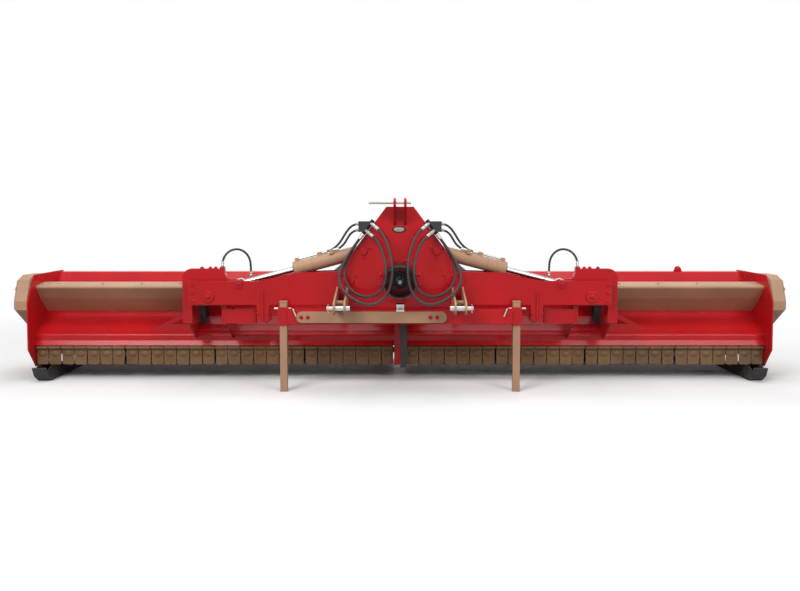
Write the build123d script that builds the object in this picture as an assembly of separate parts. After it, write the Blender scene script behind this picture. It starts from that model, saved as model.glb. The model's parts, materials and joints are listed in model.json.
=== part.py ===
from build123d import *
import math
import os

os.makedirs("parts", exist_ok=True)

# A folding two-wing field mulcher for a three-point hitch, in millimetres.
# X runs across the machine, Y from the tractor towards the rear and Z up from the ground.
# Pieces that come in pairs are drawn on the -X side, called left, and mirrored to the right.

# Overall
working_width = 5600
wing_gap = 70
wing_setback = 575
wing_depth = 1015
hitch_eye_r = 45

# Clearances
seat_gap = 0.2
turn_gap = 0.15
slide_gap = 0.3
side_play = 6

# Three-point hitch
lower_link_spread = 825
lower_link_z = 628
lower_link_pin_r = 14
lower_pin_shoulder_r = 17
lower_pin_inner = 72
lower_pin_outer = 86
link_ball_slot = 60
hitch_plate_t = 12
hitch_plate_top = 745
hitch_plate_shoulder = 20
hitch_spacer_r = 16
hitch_spacer_back = 132
hitch_spacer_z = 652
top_link_z = 1350
top_link_reach = 100
top_link_pin_r = 12.7
top_pin_left = 219
top_pin_right = 77
top_ear_r = 30
top_ear_t = 18
top_ear_slot = 56
top_ear_foot = 1185

# Headstock, from the hitch pins backwards
frame_plate_t = 15
front_plate_setback = 330
frame_top_z = 1320
frame_top_half = 98
frame_base_half = 460
frame_shoulder_z = 834
front_plate_bottom = 488
rear_frame_top = 1290
rear_frame_bottom = 592
frame_web_t = 10
frame_web_low = 1150

# Cross tube and stands
cross_tube_size = 100
cross_tube_wall = 8
cross_tube_half = 795
sleeve_wall = 10
sleeve_low = 478
sleeve_high = 606
stand_size = 50
stand_wall = 5
stand_top = 640
stand_cap_t = 8
stand_pin_r = 7
stand_pin_z = 597
stand_pin_forward = 18
stand_pin_stub = 30
stand_handle_r = 5
stand_handle_bend = 8
stand_handle_out = 25
stand_handle_reach = 62
stand_handle_drop = 52
tie_bar_inset = 61
tie_bar_right = 332
tie_bar_height = 80
tie_bar_t = 10

# Drive
drive_z = 795
drive_back = 250
snout_r = 60
pto_r = 17.46
pto_journal_r = 30
pto_tip = 130
pto_ring_r = 166
pto_ring_hole = 118
pto_ring_t = 12
pto_shield_r = 115
pto_shield_t = 5
pto_shield_tip = 80
pto_shield_taper = 6
gearbox_half = 150
gearbox_depth = 250
gearbox_height = 220
gearbox_boss_r = 75
gearbox_boss_half = 215
gearbox_round = 18
snout_flange_r = 110
snout_flange_t = 20
pto_collar_gap = 10
pto_journal_depth = 100
joint_stub_r = 30
joint_gap = 40
joint_tongue = 44
joint_tongue_height = 40
joint_pin_r = 12
yoke_ear_t = 14
yoke_ear_r = 22
guard_tube_r = 42
bell_inner_r = 95
bell_outer_r = 112
bell_wall = 5
yoke_length = 60
guard_tube_start = 58
bell_inner_start = 70
bell_inner_length = 80
bell_outer_neck = 52
bell_outer_before = 150
bell_outer_after = 85

# Fold arms
fold_x = -369
fold_pin_r = 30
fold_pin_head_r = 42
pin_head_t = 12
arm_plate_t = 12
arm_width = 158
arm_bottom = 612
arm_over_float = 116
arm_top_inner = 846
arm_end_x = -1530
arm_rise_outer_x = -1010
arm_rise_inner_x = -720
arm_eye_r = 62
arm_floor_end_x = -1245
arm_rise_round = 260
arm_hub_r = 54
eye_boss_r = 28
stop_x = -990
stop_width = 90
stop_low = 490
stop_rib_z = 712
stop_reach = 700
stop_rib_t = 12
stop_foot_t = 20
stop_foot_height = 30

# Fold cylinders
cylinder_base_x = -262
cylinder_base_z = 1000
cylinder_pin_r = 20
cylinder_pin_head_r = 28
rod_eye_x = -1165
rod_eye_z = 762
barrel_r = 50
barrel_bore_r = 40
barrel_length = 526
barrel_eye_r = 42
barrel_eye_width = 70
gland_length = 28
rod_r = 20
rod_tail = 420
rod_eye_r = 36
rod_eye_width = 46
rod_pin_r = 17
pipe_r = 8
pipe_offset = 62
port_width = 36
port_height = 36
port_length = 30
port_offset = 62
near_port_s = 230
near_port_side = -30
barrel_neck_height = 60
barrel_neck_length = 30
barrel_cap = 62
port_seat = 6
far_port_s = 320
pipe_end_s = 490

# Wings
float_x = -1385
float_z = 670
float_pin_r = 30
lug_t = 48
lug_boss_r = 62
lug_outer_x = -1585
lug_inner_x = -1265
lug_top = 870
lug_low = 470
lug_arch = 600
lug_leg_outer = 70
lug_leg_inner = 35
lug_round = 70
cheek_t = 15
cheek_inset = 25
cheek_top = 596
cheek_low = 470
brace_top = 535
brace_toe = 385
brace_low = 345
brace_out = 20
window_rim = 50
window_top = 492
window_low = 420
window_tip = 130
brace_back = 150
brace_t = 12
brace_tip_x = -1890
inner_beam_end_x = -1050
inner_beam_height = 105
inner_beam_depth = 60
side_plate_t = 10
hood_t = 6
hood_bend = 18
rotor_back = 560
rotor_z = 300
rotor_tube_r = 85
rotor_reach = 240
rotor_shaft_r = 35
rotor_bearing_r = 72
rotor_bearing_t = 20
rotor_end_gap = 12
shaft_end_inset = 2
hammer_width = 90
hammer_t = 22
hammer_hook = 34
hammer_hook_z = 175
hammer_count = 26
hammer_rows = 4
hammer_twist = 7
hammer_margin = 5
hammer_lug_t = 12
hammer_lug_z = 140
hammer_lug_foot = 34
hammer_lug_top = 18
hammer_pin_z = 122
hammer_pin_r = 15
roller_r = 85
roller_shaft_r = 20
roller_hub_r = 55
roller_end_gap = 20
belt_cover_t = 100
belt_cover_edge = 14
shaft_cover_t = 3
shaft_cover_bend = 12
wing_gearbox_end_x = -1640
shaft_cover_inner_x = wing_gearbox_end_x - side_play
wing_gearbox_face_x = -1490
wing_gearbox_half = 105
pedestal_inset = 20
pedestal_front = 215
pedestal_rear = 340
pedestal_low = 400
drive_tube_r = 45
flap_count = 28
flap_gap = 5
flap_t = 6
flap_low = 112
flap_rod_r = 8
flap_eye_r = 15
flap_rod_z = 244
flap_back = 118
skid_width = 80
skid_t = 10
skid_bend = 60
skid_tail = 715
skid_heel = 190
skid_top = 110
skid_web_front = 115
skid_web_low = 48
skid_web_end = 330

# Hoses
hose_r = 10
feed_hose_r = 8
holder_depth = 46
holder_bevel = 22
feed_block_bevel = 26
feed_block_top = 1216
feed_block_low = 1140
feed_block_out = 22
far_feed_z = 1196
near_feed_z = 1152
coupler_r = 14
coupler_length = 50
arm_port_x = -1105
arm_port_low = 740
arm_port_top = 800
lug_port_x = -1295
lug_port_height = 12

# Places that follow from the sizes above
hitch_y = -(wing_setback + wing_depth - hitch_eye_r) / 2
wing_y = hitch_y + wing_setback
outer_x = -working_width / 2
inner_x = -wing_gap / 2
front_plate_y = hitch_y + front_plate_setback
arm_front_y = front_plate_y + frame_plate_t + side_play
arm_rear_y = arm_front_y + arm_width
arm_y = (arm_front_y + arm_rear_y) / 2
rear_plate_y = arm_rear_y + side_play
drive_y = wing_y + drive_back
cross_tube_y = front_plate_y - cross_tube_size / 2
cross_tube_low = front_plate_bottom
cross_tube_top = cross_tube_low + cross_tube_size
sleeve_size = stand_size + 2 * slide_gap + 2 * sleeve_wall
stand_x = -(cross_tube_half + sleeve_size / 2)
tie_bar_left = cross_tube_half - tie_bar_inset
arm_top_outer = float_z + arm_over_float
frame_slope = (frame_base_half - frame_top_half) / (frame_top_z - frame_shoulder_z)
roller_back = wing_depth - roller_r
roller_z = roller_r


def plate_xz(outline, y, thickness):
    """A plate that stands across the machine: X and Z outline, from y towards the rear."""
    face = make_face(Polyline(*outline, close=True))
    return extrude(Plane.XZ.offset(-y) * face, amount=-thickness)


def plate_yz(outline, x, thickness):
    """A plate that stands along the machine: Y and Z outline, from x towards +X."""
    face = make_face(Polyline(*outline, close=True))
    return extrude(Plane.YZ.offset(x) * face, amount=thickness)


def block(x0, x1, y0, y1, z0, z1):
    return Pos((x0 + x1) / 2, (y0 + y1) / 2, (z0 + z1) / 2) * Box(abs(x1 - x0), abs(y1 - y0), abs(z1 - z0))


def rod_x(radius, x0, x1, y, z):
    return Pos((x0 + x1) / 2, y, z) * Rot(0, 90, 0) * Cylinder(radius, abs(x1 - x0))


def rod_y(radius, y0, y1, x, z):
    return Pos(x, (y0 + y1) / 2, z) * Rot(90, 0, 0) * Cylinder(radius, abs(y1 - y0))


def axis_frame(start, end):
    """A frame at start whose Z points to end and whose X is the machine's Y."""
    way = Vector(*end) - Vector(*start)
    return Plane(origin=start, x_dir=(0, 1, 0), z_dir=way).location, way.length


def along(radius, s0, s1):
    """A round bar on the local Z axis from s0 to s1."""
    return Pos(0, 0, (s0 + s1) / 2) * Cylinder(radius, s1 - s0)


def behind(outline):
    """Wing outlines are tables of distance behind the side plate's front edge and height."""
    return [(wing_y + back, z) for back, z in outline]


def other_side(shape):
    return mirror(shape, about=Plane.YZ)


def both(shape):
    return shape + other_side(shape)


nodes = {}


def add(name, shape):
    nodes[name] = shape


def add_pair(name, shape):
    nodes[name + "_left"] = shape
    nodes[name + "_right"] = other_side(shape)


def slope_x(z):
    """Half width of the headstock plates on their slanting edge."""
    return frame_top_half + (frame_top_z - z) * frame_slope


def frame_outline(top, bottom):
    half = [(slope_x(top), top), (frame_base_half, frame_shoulder_z), (frame_base_half, bottom)]
    return [(-x, z) for x, z in half] + [(x, z) for x, z in reversed(half)]


# Headstock

def frame_pin_holes(y0, y1):
    holes = rod_y(snout_r + seat_gap, y0, y1, 0, drive_z)
    holes += both(rod_y(fold_pin_r + seat_gap, y0, y1, fold_x, drive_z))
    holes += both(rod_y(cylinder_pin_r + seat_gap, y0, y1, cylinder_base_x, cylinder_base_z))
    return holes


def headstock_front_plate():
    plate = plate_xz(frame_outline(frame_top_z, front_plate_bottom), front_plate_y, frame_plate_t)
    return plate - frame_pin_holes(front_plate_y - 1, front_plate_y + frame_plate_t + 1)


def headstock_rear_frame():
    inside_y = front_plate_y + frame_plate_t
    depth = rear_plate_y - inside_y
    frame = plate_xz(frame_outline(rear_frame_top, rear_frame_bottom), rear_plate_y, frame_plate_t)
    frame -= frame_pin_holes(rear_plate_y - 1, rear_plate_y + frame_plate_t + 1)
    web = [
        (-slope_x(frame_web_low), frame_web_low),
        (-slope_x(rear_frame_top), rear_frame_top),
        (-slope_x(rear_frame_top) + frame_web_t, rear_frame_top),
        (-slope_x(frame_web_low) + frame_web_t, frame_web_low),
    ]
    frame += both(plate_xz(web, inside_y, depth))
    roof_half = slope_x(rear_frame_top)
    frame += block(-roof_half, roof_half, inside_y, rear_plate_y, rear_frame_top - frame_web_t, rear_frame_top)
    frame += block(
        -frame_base_half, frame_base_half, inside_y, rear_plate_y,
        rear_frame_bottom, rear_frame_bottom + frame_web_t,
    )
    return frame


def eye_plate(foot, eye_y, eye_z, eye_r, x, thickness):
    """A plate along the machine that runs from a foot of points to a round eye, with straight tangents."""
    rim = Pos(eye_y, eye_z) * Circle(eye_r)
    edges = rim.edges() + Polyline(*foot, close=True).edges()
    return extrude(Plane.YZ.offset(x) * make_hull(edges), amount=thickness)


def top_link_ears():
    pin_y = front_plate_y - top_link_reach
    foot = [
        (front_plate_y, top_ear_foot),
        (front_plate_y, frame_top_z),
        (front_plate_y - top_ear_t, frame_top_z),
    ]
    ear = eye_plate(foot, pin_y, top_link_z, top_ear_r, -top_ear_slot / 2 - top_ear_t, top_ear_t)
    hole = rod_x(top_link_pin_r + seat_gap, -top_ear_slot, top_ear_slot, pin_y, top_link_z)
    return both(ear) - hole


def top_link_pin():
    return rod_x(top_link_pin_r, -top_pin_left, top_pin_right, front_plate_y - top_link_reach, top_link_z)


def hitch_brackets():
    foot = [
        (front_plate_y, cross_tube_top),
        (front_plate_y, hitch_plate_top),
        (front_plate_y - hitch_plate_shoulder, hitch_plate_top),
    ]
    center = -lower_link_spread / 2
    brackets = None
    for face in (center - link_ball_slot / 2 - hitch_plate_t, center + link_ball_slot / 2):
        plate = eye_plate(foot, hitch_y, lower_link_z, hitch_eye_r, face, hitch_plate_t)
        plate -= rod_x(lower_pin_shoulder_r + seat_gap, face - 1, face + hitch_plate_t + 1, hitch_y, lower_link_z)
        brackets = plate if brackets is None else brackets + plate
    y0 = cross_tube_y - cross_tube_size / 2
    return both(brackets) - block(-cross_tube_half, cross_tube_half, y0, front_plate_y, 0, cross_tube_top)


def hitch_spacers():
    center = -lower_link_spread / 2
    half = link_ball_slot / 2
    return both(rod_x(hitch_spacer_r, center - half, center + half, hitch_y + hitch_spacer_back, hitch_spacer_z))


def lower_link_pins():
    center = -lower_link_spread / 2
    shoulder = center - link_ball_slot / 2 - hitch_plate_t
    pin = rod_x(lower_link_pin_r, center - lower_pin_outer, shoulder, hitch_y, lower_link_z)
    return both(pin + rod_x(lower_pin_shoulder_r, shoulder, center + lower_pin_inner, hitch_y, lower_link_z))


def cross_tube():
    y0 = cross_tube_y - cross_tube_size / 2
    y1 = cross_tube_y + cross_tube_size / 2
    tube = block(-cross_tube_half, cross_tube_half, y0, y1, cross_tube_low, cross_tube_top)
    tube -= block(
        -cross_tube_half, cross_tube_half, y0 + cross_tube_wall, y1 - cross_tube_wall,
        cross_tube_low + cross_tube_wall, cross_tube_top - cross_tube_wall,
    )
    half = sleeve_size / 2
    sleeve = block(
        stand_x - half, stand_x + half, cross_tube_y - half, cross_tube_y + half, sleeve_low, sleeve_high
    )
    hole = stand_size / 2 + slide_gap
    sleeve -= block(
        stand_x - hole, stand_x + hole, cross_tube_y - hole, cross_tube_y + hole, sleeve_low - 1, sleeve_high + 1
    )
    return tube + both(sleeve)


def stand_leg():
    half = stand_size / 2
    hollow = half - stand_wall
    leg = block(stand_x - half, stand_x + half, cross_tube_y - half, cross_tube_y + half, 0, stand_top)
    leg -= block(
        stand_x - hollow, stand_x + hollow, cross_tube_y - hollow, cross_tube_y + hollow, -1, stand_top + 1
    )
    cap = half + 2
    leg += block(
        stand_x - cap, stand_x + cap, cross_tube_y - cap, cross_tube_y + cap, stand_top, stand_top + stand_cap_t
    )
    return leg


def stand_pins():
    half = sleeve_size / 2
    y = cross_tube_y - stand_pin_forward
    front = cross_tube_y - cross_tube_size / 2 - tie_bar_t - 2 * stand_handle_r
    stub = rod_x(stand_pin_r, stand_x - half - stand_pin_stub, stand_x - half, y, stand_pin_z)
    inner = stand_x + half
    route = [
        (inner, y, stand_pin_z),
        (inner + stand_handle_out, y, stand_pin_z),
        (inner + stand_handle_out + 2 * stand_handle_bend, front, stand_pin_z),
        (inner + stand_handle_reach, front, stand_pin_z - stand_handle_drop),
    ]
    path = FilletPolyline(*route, radius=stand_handle_bend)
    handle = sweep(Plane(origin=route[0], z_dir=(1, 0, 0)) * Circle(stand_handle_r), path=path)
    return both(stub) + both(handle)


def transport_tie_bar():
    y1 = cross_tube_y - cross_tube_size / 2
    low = (cross_tube_low + cross_tube_top - tie_bar_height) / 2
    end_r = tie_bar_height / 2
    bar = block(-tie_bar_left + end_r, tie_bar_right - end_r, y1 - tie_bar_t, y1, low, low + tie_bar_height)
    for x in (-tie_bar_left + end_r, tie_bar_right - end_r):
        bar += rod_y(end_r, y1 - tie_bar_t, y1, x, low + end_r)
    return bar


def frame_pins():
    pins = None
    rear = rear_plate_y + frame_plate_t
    table = (
        # x, z, radius, head radius
        (fold_x, drive_z, fold_pin_r, fold_pin_head_r),
        (cylinder_base_x, cylinder_base_z, cylinder_pin_r, cylinder_pin_head_r),
    )
    for x, z, radius, head in table:
        pin = rod_y(radius, front_plate_y - pin_head_t, rear + pin_head_t, x, z)
        pin += rod_y(head, front_plate_y - pin_head_t, front_plate_y, x, z)
        pin += rod_y(head, rear, rear + pin_head_t, x, z)
        pins = pin if pins is None else pins + pin
    return both(pins)


def pto_ring():
    ring = rod_y(pto_ring_r, front_plate_y - pto_ring_t, front_plate_y, 0, drive_z)
    return ring - rod_y(pto_ring_hole, front_plate_y - pto_ring_t - 1, front_plate_y + 1, 0, drive_z)


def pto_shield():
    mouth_y = hitch_y + pto_shield_tip
    outside = [(pto_shield_r, front_plate_y), (pto_shield_r - pto_shield_taper, mouth_y)]
    inside = [(r - pto_shield_t, y) for r, y in reversed(outside)]
    wall = make_face(Polyline(*outside, *inside, close=True))
    return Pos(0, 0, drive_z) * revolve(wall, axis=Axis.Y)


def joint_tongue_at(x, toward):
    """The flat tongue and cross pin of a universal joint whose shaft lies on the drive line."""
    half = joint_tongue / 2
    tongue = block(
        x, x + toward * (joint_gap + 1), drive_y - half, drive_y + half,
        drive_z - joint_tongue_height / 2, drive_z + joint_tongue_height / 2,
    )
    tongue += rod_y(joint_tongue_height / 2, drive_y - half, drive_y + half, x, drive_z)
    tongue += rod_y(joint_pin_r, drive_y - half - yoke_ear_t, drive_y + half + yoke_ear_t, x, drive_z)
    return tongue


def center_gearbox():
    back_of_frame = rear_plate_y + frame_plate_t
    box = block(
        -gearbox_half, gearbox_half, drive_y - gearbox_depth / 2, drive_y + gearbox_depth / 2,
        drive_z - gearbox_height / 2, drive_z + gearbox_height / 2,
    )
    box = fillet(box.edges(), gearbox_round)
    box += rod_x(gearbox_boss_r, -gearbox_boss_half, gearbox_boss_half, drive_y, drive_z)
    box += rod_y(snout_r, front_plate_y - pto_ring_t, drive_y, 0, drive_z)
    box += rod_y(snout_flange_r, back_of_frame, back_of_frame + snout_flange_t, 0, drive_z)
    box += rod_x(joint_stub_r, fold_x + joint_gap, -fold_x - joint_gap, drive_y, drive_z)
    box += both(joint_tongue_at(fold_x, 1))
    start = front_plate_y - pto_journal_depth
    return box - rod_y(pto_journal_r + turn_gap, start, rear_plate_y, 0, drive_z)


def pto_stub_shaft():
    collar_y = front_plate_y - pto_ring_t - pto_collar_gap
    shaft = rod_y(pto_r, hitch_y + pto_tip, collar_y, 0, drive_z)
    return shaft + rod_y(pto_journal_r, collar_y, rear_plate_y - turn_gap, 0, drive_z)


# Fold arms

def arm_plate(y):
    beam = [
        (arm_rise_inner_x, arm_top_inner),
        (arm_rise_outer_x, arm_top_outer),
        (arm_end_x, arm_top_outer),
        (arm_end_x, arm_bottom),
        (arm_rise_inner_x, arm_bottom),
    ]
    face = make_face(Polyline(*beam, close=True))
    rise = face.vertices().filter_by_position(Axis.X, arm_rise_outer_x - 1, arm_rise_outer_x + 1)
    face = fillet(rise, arm_rise_round)
    foot = [
        (arm_rise_inner_x, arm_top_inner),
        (arm_rise_inner_x, arm_bottom),
        (fold_x - arm_eye_r, arm_bottom),
    ]
    rim = Pos(fold_x, drive_z) * Circle(arm_eye_r)
    face += make_hull(rim.edges() + Polyline(*foot, close=True).edges())
    return extrude(Plane.XZ.offset(-y) * face, amount=-arm_plate_t)


def arm():
    inside_front = arm_front_y + arm_plate_t
    inside_rear = arm_rear_y - arm_plate_t
    beam = arm_plate(arm_front_y) + arm_plate(inside_rear)
    beam += block(
        arm_floor_end_x, fold_x - arm_eye_r, inside_front, inside_rear, arm_bottom, arm_bottom + arm_plate_t
    )
    beam += rod_y(arm_hub_r, inside_front, inside_rear, fold_x, drive_z)
    beam -= rod_y(fold_pin_r + turn_gap, arm_front_y - 1, arm_rear_y + 1, fold_x, drive_z)
    beam -= rod_y(float_pin_r + seat_gap, arm_front_y - 1, arm_rear_y + 1, float_x, float_z)
    for y in (arm_front_y - pin_head_t, arm_rear_y):
        beam += rod_y(eye_boss_r, y, y + pin_head_t, rod_eye_x, rod_eye_z)
    half = port_width / 2
    beam += block(
        arm_port_x - half, arm_port_x + half, arm_rear_y, arm_rear_y + port_width, arm_port_low, arm_port_top
    )
    return beam + float_stop()


def float_stop():
    half = stop_width / 2
    rib = stop_rib_t / 2
    inside = arm_front_y + arm_plate_t
    stop = block(stop_x - half, stop_x + half, arm_front_y, inside, stop_low, arm_bottom)
    stop += block(stop_x - rib, stop_x + rib, arm_front_y - pin_head_t, arm_front_y, stop_low, stop_rib_z)
    foot = [
        (inside, arm_bottom),
        (arm_rear_y, arm_bottom),
        (hitch_y + stop_reach, stop_low),
        (hitch_y + stop_reach, stop_low - stop_foot_height),
        (arm_rear_y, stop_low - stop_foot_height),
        (inside, stop_low),
    ]
    return stop + plate_yz(foot, stop_x - stop_foot_t / 2, stop_foot_t)


def float_pin():
    pin = rod_y(float_pin_r, arm_front_y - pin_head_t, arm_rear_y + pin_head_t, float_x, float_z)
    for y in (arm_front_y - pin_head_t, arm_rear_y):
        pin += rod_y(fold_pin_head_r, y, y + pin_head_t, float_x, float_z)
    return pin


def yoke(s, toward):
    """Two ears that turn on a cross pin at s on the shaft's own axis."""
    inside = joint_tongue / 2 + 1
    ears = None
    for y in (-inside - yoke_ear_t / 2, inside + yoke_ear_t / 2):
        ear = Pos(y, 0, s + toward * yoke_length / 2) * Box(yoke_ear_t, 2 * yoke_ear_r, yoke_length)
        ear += Pos(y, 0, s) * Rot(0, 90, 0) * Cylinder(yoke_ear_r, yoke_ear_t)
        ears = ear if ears is None else ears + ear
    return ears - Pos(0, 0, s) * Rot(0, 90, 0) * Cylinder(joint_pin_r + turn_gap, 4 * inside)


def bell(s0, r0, s1, r1):
    """A thin cone around the shaft's axis, closed only by the guard tube that it sits on."""
    walls = [(r0, s0), (r1, s1), (r1 - bell_wall, s1), (r0 - bell_wall, s0)]
    return revolve(Plane.XZ * make_face(Polyline(*walls, close=True)), axis=Axis.Z)


def drive_shaft():
    place, length = axis_frame((fold_x, drive_y, drive_z), (float_x, drive_y, float_z))
    shaft = yoke(0, 1) + yoke(length, -1)
    shaft += along(guard_tube_r, guard_tube_start, length - guard_tube_start)
    neck = bell_inner_start + bell_inner_length
    shaft += bell(bell_inner_start, bell_inner_r, neck, guard_tube_r + 1)
    neck = length - bell_outer_before
    shaft += bell(neck, bell_outer_neck, length + bell_outer_after, bell_outer_r)
    shaft += along(bell_outer_neck, neck, neck + 2 * bell_wall)
    return place * shaft


# Fold cylinders

def cylinder_frame():
    start = (cylinder_base_x, arm_y, cylinder_base_z)
    return axis_frame(start, (rod_eye_x, arm_y, rod_eye_z))


port_table = (
    # place along the barrel, place across it
    (near_port_s, near_port_side),
    (far_port_s, 0),
    (pipe_end_s, 0),
)


def cylinder_barrel():
    place, _ = cylinder_frame()
    barrel = along(barrel_r, barrel_eye_r, barrel_length)
    barrel -= along(barrel_bore_r, barrel_cap, barrel_length - gland_length)
    barrel -= along(rod_r + turn_gap, barrel_length - gland_length - 1, barrel_length + 1)
    barrel += Rot(0, 90, 0) * Cylinder(barrel_eye_r, barrel_eye_width)
    barrel += Pos(0, 0, barrel_eye_r) * Box(barrel_eye_width, barrel_neck_height, barrel_neck_length)
    barrel -= Rot(0, 90, 0) * Cylinder(cylinder_pin_r + turn_gap, 2 * barrel_eye_width)
    for s, side in port_table:
        barrel += Pos(side, port_seat - port_offset, s) * Box(port_width, port_height, port_length)
    barrel -= along(barrel_bore_r, barrel_cap, barrel_length - gland_length)
    barrel += Pos(0, -pipe_offset, 0) * along(pipe_r, far_port_s, pipe_end_s)
    return place * barrel


def cylinder_rod():
    place, length = cylinder_frame()
    rod = along(rod_r, rod_tail, length - rod_eye_r / 2)
    rod += Pos(0, 0, length) * Rot(0, 90, 0) * Cylinder(rod_eye_r, rod_eye_width)
    pin_length = arm_width - 2 * arm_plate_t - 2 * side_play
    rod += Pos(0, 0, length) * Rot(0, 90, 0) * Cylinder(rod_pin_r, pin_length)
    return place * rod


# Wings

hood_path = [
    # behind the side plate's front edge, height
    (105, 262),
    (122, 300),
    (122, 342),
    (160, 368),
    (205, 408),
    (330, 455),
    (385, 545),
    (535, 725),
    (605, 788),
    (700, 788),
    (800, 680),
    (862, 490),
    (866, 300),
]

outer_plate_outline = [
    (0, 245),
    (0, 600),
    (130, 803),
    (660, 803),
    (815, 690),
    (905, 430),
    (roller_back + roller_hub_r, roller_z),
    (roller_back, roller_z - roller_hub_r),
    (850, 110),
    (115, 110),
]

inner_plate_outline = [
    (88, 120),
    (88, 345),
    (110, 372),
    (195, 428),
    (318, 474),
    (370, 556),
    (522, 740),
    (598, 803),
    (708, 803),
    (815, 690),
    (905, 430),
    (roller_back + roller_hub_r, roller_z),
    (roller_back, roller_z - roller_hub_r),
    (850, 110),
    (115, 110),
]

belt_cover_outline = [
    (0, 612),
    (62, 770),
    (140, 800),
    (330, 800),
    (430, 730),
    (690, 400),
    (690, 250),
    (620, 170),
    (500, 165),
    (400, 240),
    (210, 402),
    (0, 545),
]

shaft_cover_path = [(300, 733), (128, 713), (222, 612), (350, 500)]

cheek_path = [(0, cheek_top), (135, 552), (205, 500), (205, 380), (140, 300)]

skid_path = [(15, 95), (60, 45), (skid_heel, skid_t / 2), (skid_tail, skid_t / 2)]

skid_web_outline = [
    (40, 70),
    (70, 45),
    (skid_heel, skid_t / 2),
    (skid_tail, skid_t / 2),
    (skid_tail, skid_web_low),
]

hood_left = outer_x + side_plate_t
hood_right = inner_x - side_plate_t


def sheet(path, thickness, x0, x1, bend):
    """A bent sheet whose middle line is a path of distances behind the front edge and heights."""
    line = FilletPolyline(*behind(path), radius=bend)
    return extrude(Plane.YZ.offset(x0) * trace(line, line_width=thickness), amount=x1 - x0)


def hood():
    return sheet(hood_path, hood_t, hood_left, hood_right, hood_bend)


def under_hood():
    """The space inside the hood, which pieces on top of it are trimmed to."""
    room = plate_yz(behind(hood_path), hood_left, hood_right - hood_left)
    return room + hood()


def side_plate(outline, x, boss_x):
    plate = plate_yz(behind(outline), x, side_plate_t)
    plate += rod_x(roller_hub_r, x, x + side_plate_t, wing_y + roller_back, roller_z)
    plate += rod_x(rotor_bearing_r, boss_x, boss_x + rotor_bearing_t, wing_y + rotor_back, rotor_z)
    span = (min(x, boss_x) - 1, max(x + side_plate_t, boss_x + rotor_bearing_t) + 1)
    plate -= rod_x(rotor_shaft_r + turn_gap, *span, wing_y + rotor_back, rotor_z)
    plate -= rod_x(roller_shaft_r + turn_gap, *span, wing_y + roller_back, roller_z)
    return plate


def side_plates():
    outer = side_plate(outer_plate_outline, outer_x, hood_left)
    inner = side_plate(inner_plate_outline, hood_right, hood_right - rotor_bearing_t)
    return outer + inner


def hammer():
    """A hooked hammer between two lugs on the rotor tube, standing straight up from the rotor's axis."""
    half = hammer_t / 2
    tip = math.sqrt(rotor_reach ** 2 - (half + hammer_hook) ** 2)
    outline = [
        (-half, rotor_shaft_r),
        (-half, hammer_hook_z),
        (-half - hammer_hook, tip - hammer_t),
        (-half - hammer_hook, tip),
        (half, tip),
        (half, rotor_shaft_r),
    ]
    blade = plate_yz(outline, -hammer_width / 2, hammer_width)
    lug_outline = [
        (-hammer_lug_foot, rotor_shaft_r),
        (-hammer_lug_top, hammer_lug_z),
        (hammer_lug_top, hammer_lug_z),
        (hammer_lug_foot, rotor_shaft_r),
    ]
    for x in (-hammer_width / 2 - hammer_lug_t, hammer_width / 2):
        blade += plate_yz(lug_outline, x, hammer_lug_t)
    reach = hammer_width / 2 + hammer_lug_t + hammer_margin
    return blade + rod_x(hammer_pin_r, -reach, reach, 0, hammer_pin_z)


def rotor():
    y = wing_y + rotor_back
    end_left = hood_left + rotor_bearing_t + rotor_end_gap
    end_right = hood_right - rotor_bearing_t - rotor_end_gap
    drum = rod_x(rotor_tube_r, end_left, end_right, y, rotor_z)
    drum += rod_x(rotor_shaft_r, outer_x + shaft_end_inset, inner_x - shaft_end_inset, y, rotor_z)
    span = hammer_width + 2 * hammer_lug_t + 4 * hammer_margin
    pitch = (end_right - end_left - span) / (hammer_count - 1)
    one = hammer()
    hammers = []
    for number in range(hammer_count):
        x = end_left + span / 2 + number * pitch
        turn = (360 / hammer_rows + hammer_twist) * number
        hammers.append(Pos(x, y, rotor_z) * Rot(turn, 0, 0) * one)
    return drum + hammers


def roller():
    y = wing_y + roller_back
    drum = rod_x(roller_r, hood_left + roller_end_gap, hood_right - roller_end_gap, y, roller_z)
    return drum + rod_x(roller_shaft_r, outer_x + shaft_end_inset, inner_x - shaft_end_inset, y, roller_z)


def belt_cover():
    cover = plate_yz(behind(belt_cover_outline), outer_x - belt_cover_t, belt_cover_t)
    rim = cover.faces().sort_by(Axis.X)[0].edges()
    return chamfer(rim, belt_cover_edge)


def shaft_cover():
    return sheet(shaft_cover_path, shaft_cover_t, hood_left, shaft_cover_inner_x, shaft_cover_bend)


def wing_gearbox():
    box = block(
        wing_gearbox_end_x, wing_gearbox_face_x, drive_y - wing_gearbox_half, drive_y + wing_gearbox_half,
        float_z - wing_gearbox_half, float_z + wing_gearbox_half,
    )
    box = fillet(box.edges(), gearbox_round)
    box += block(
        wing_gearbox_end_x + pedestal_inset, wing_gearbox_face_x - pedestal_inset,
        wing_y + pedestal_front, wing_y + pedestal_rear, pedestal_low, float_z,
    ) - under_hood()
    box += rod_x(drive_tube_r, hood_left, wing_gearbox_end_x, drive_y, float_z)
    box += rod_x(joint_stub_r, wing_gearbox_face_x - 5, float_x - joint_gap, drive_y, float_z)
    tongue = Pos(0, 0, float_z - drive_z) * joint_tongue_at(float_x, -1)
    return box + tongue


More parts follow.
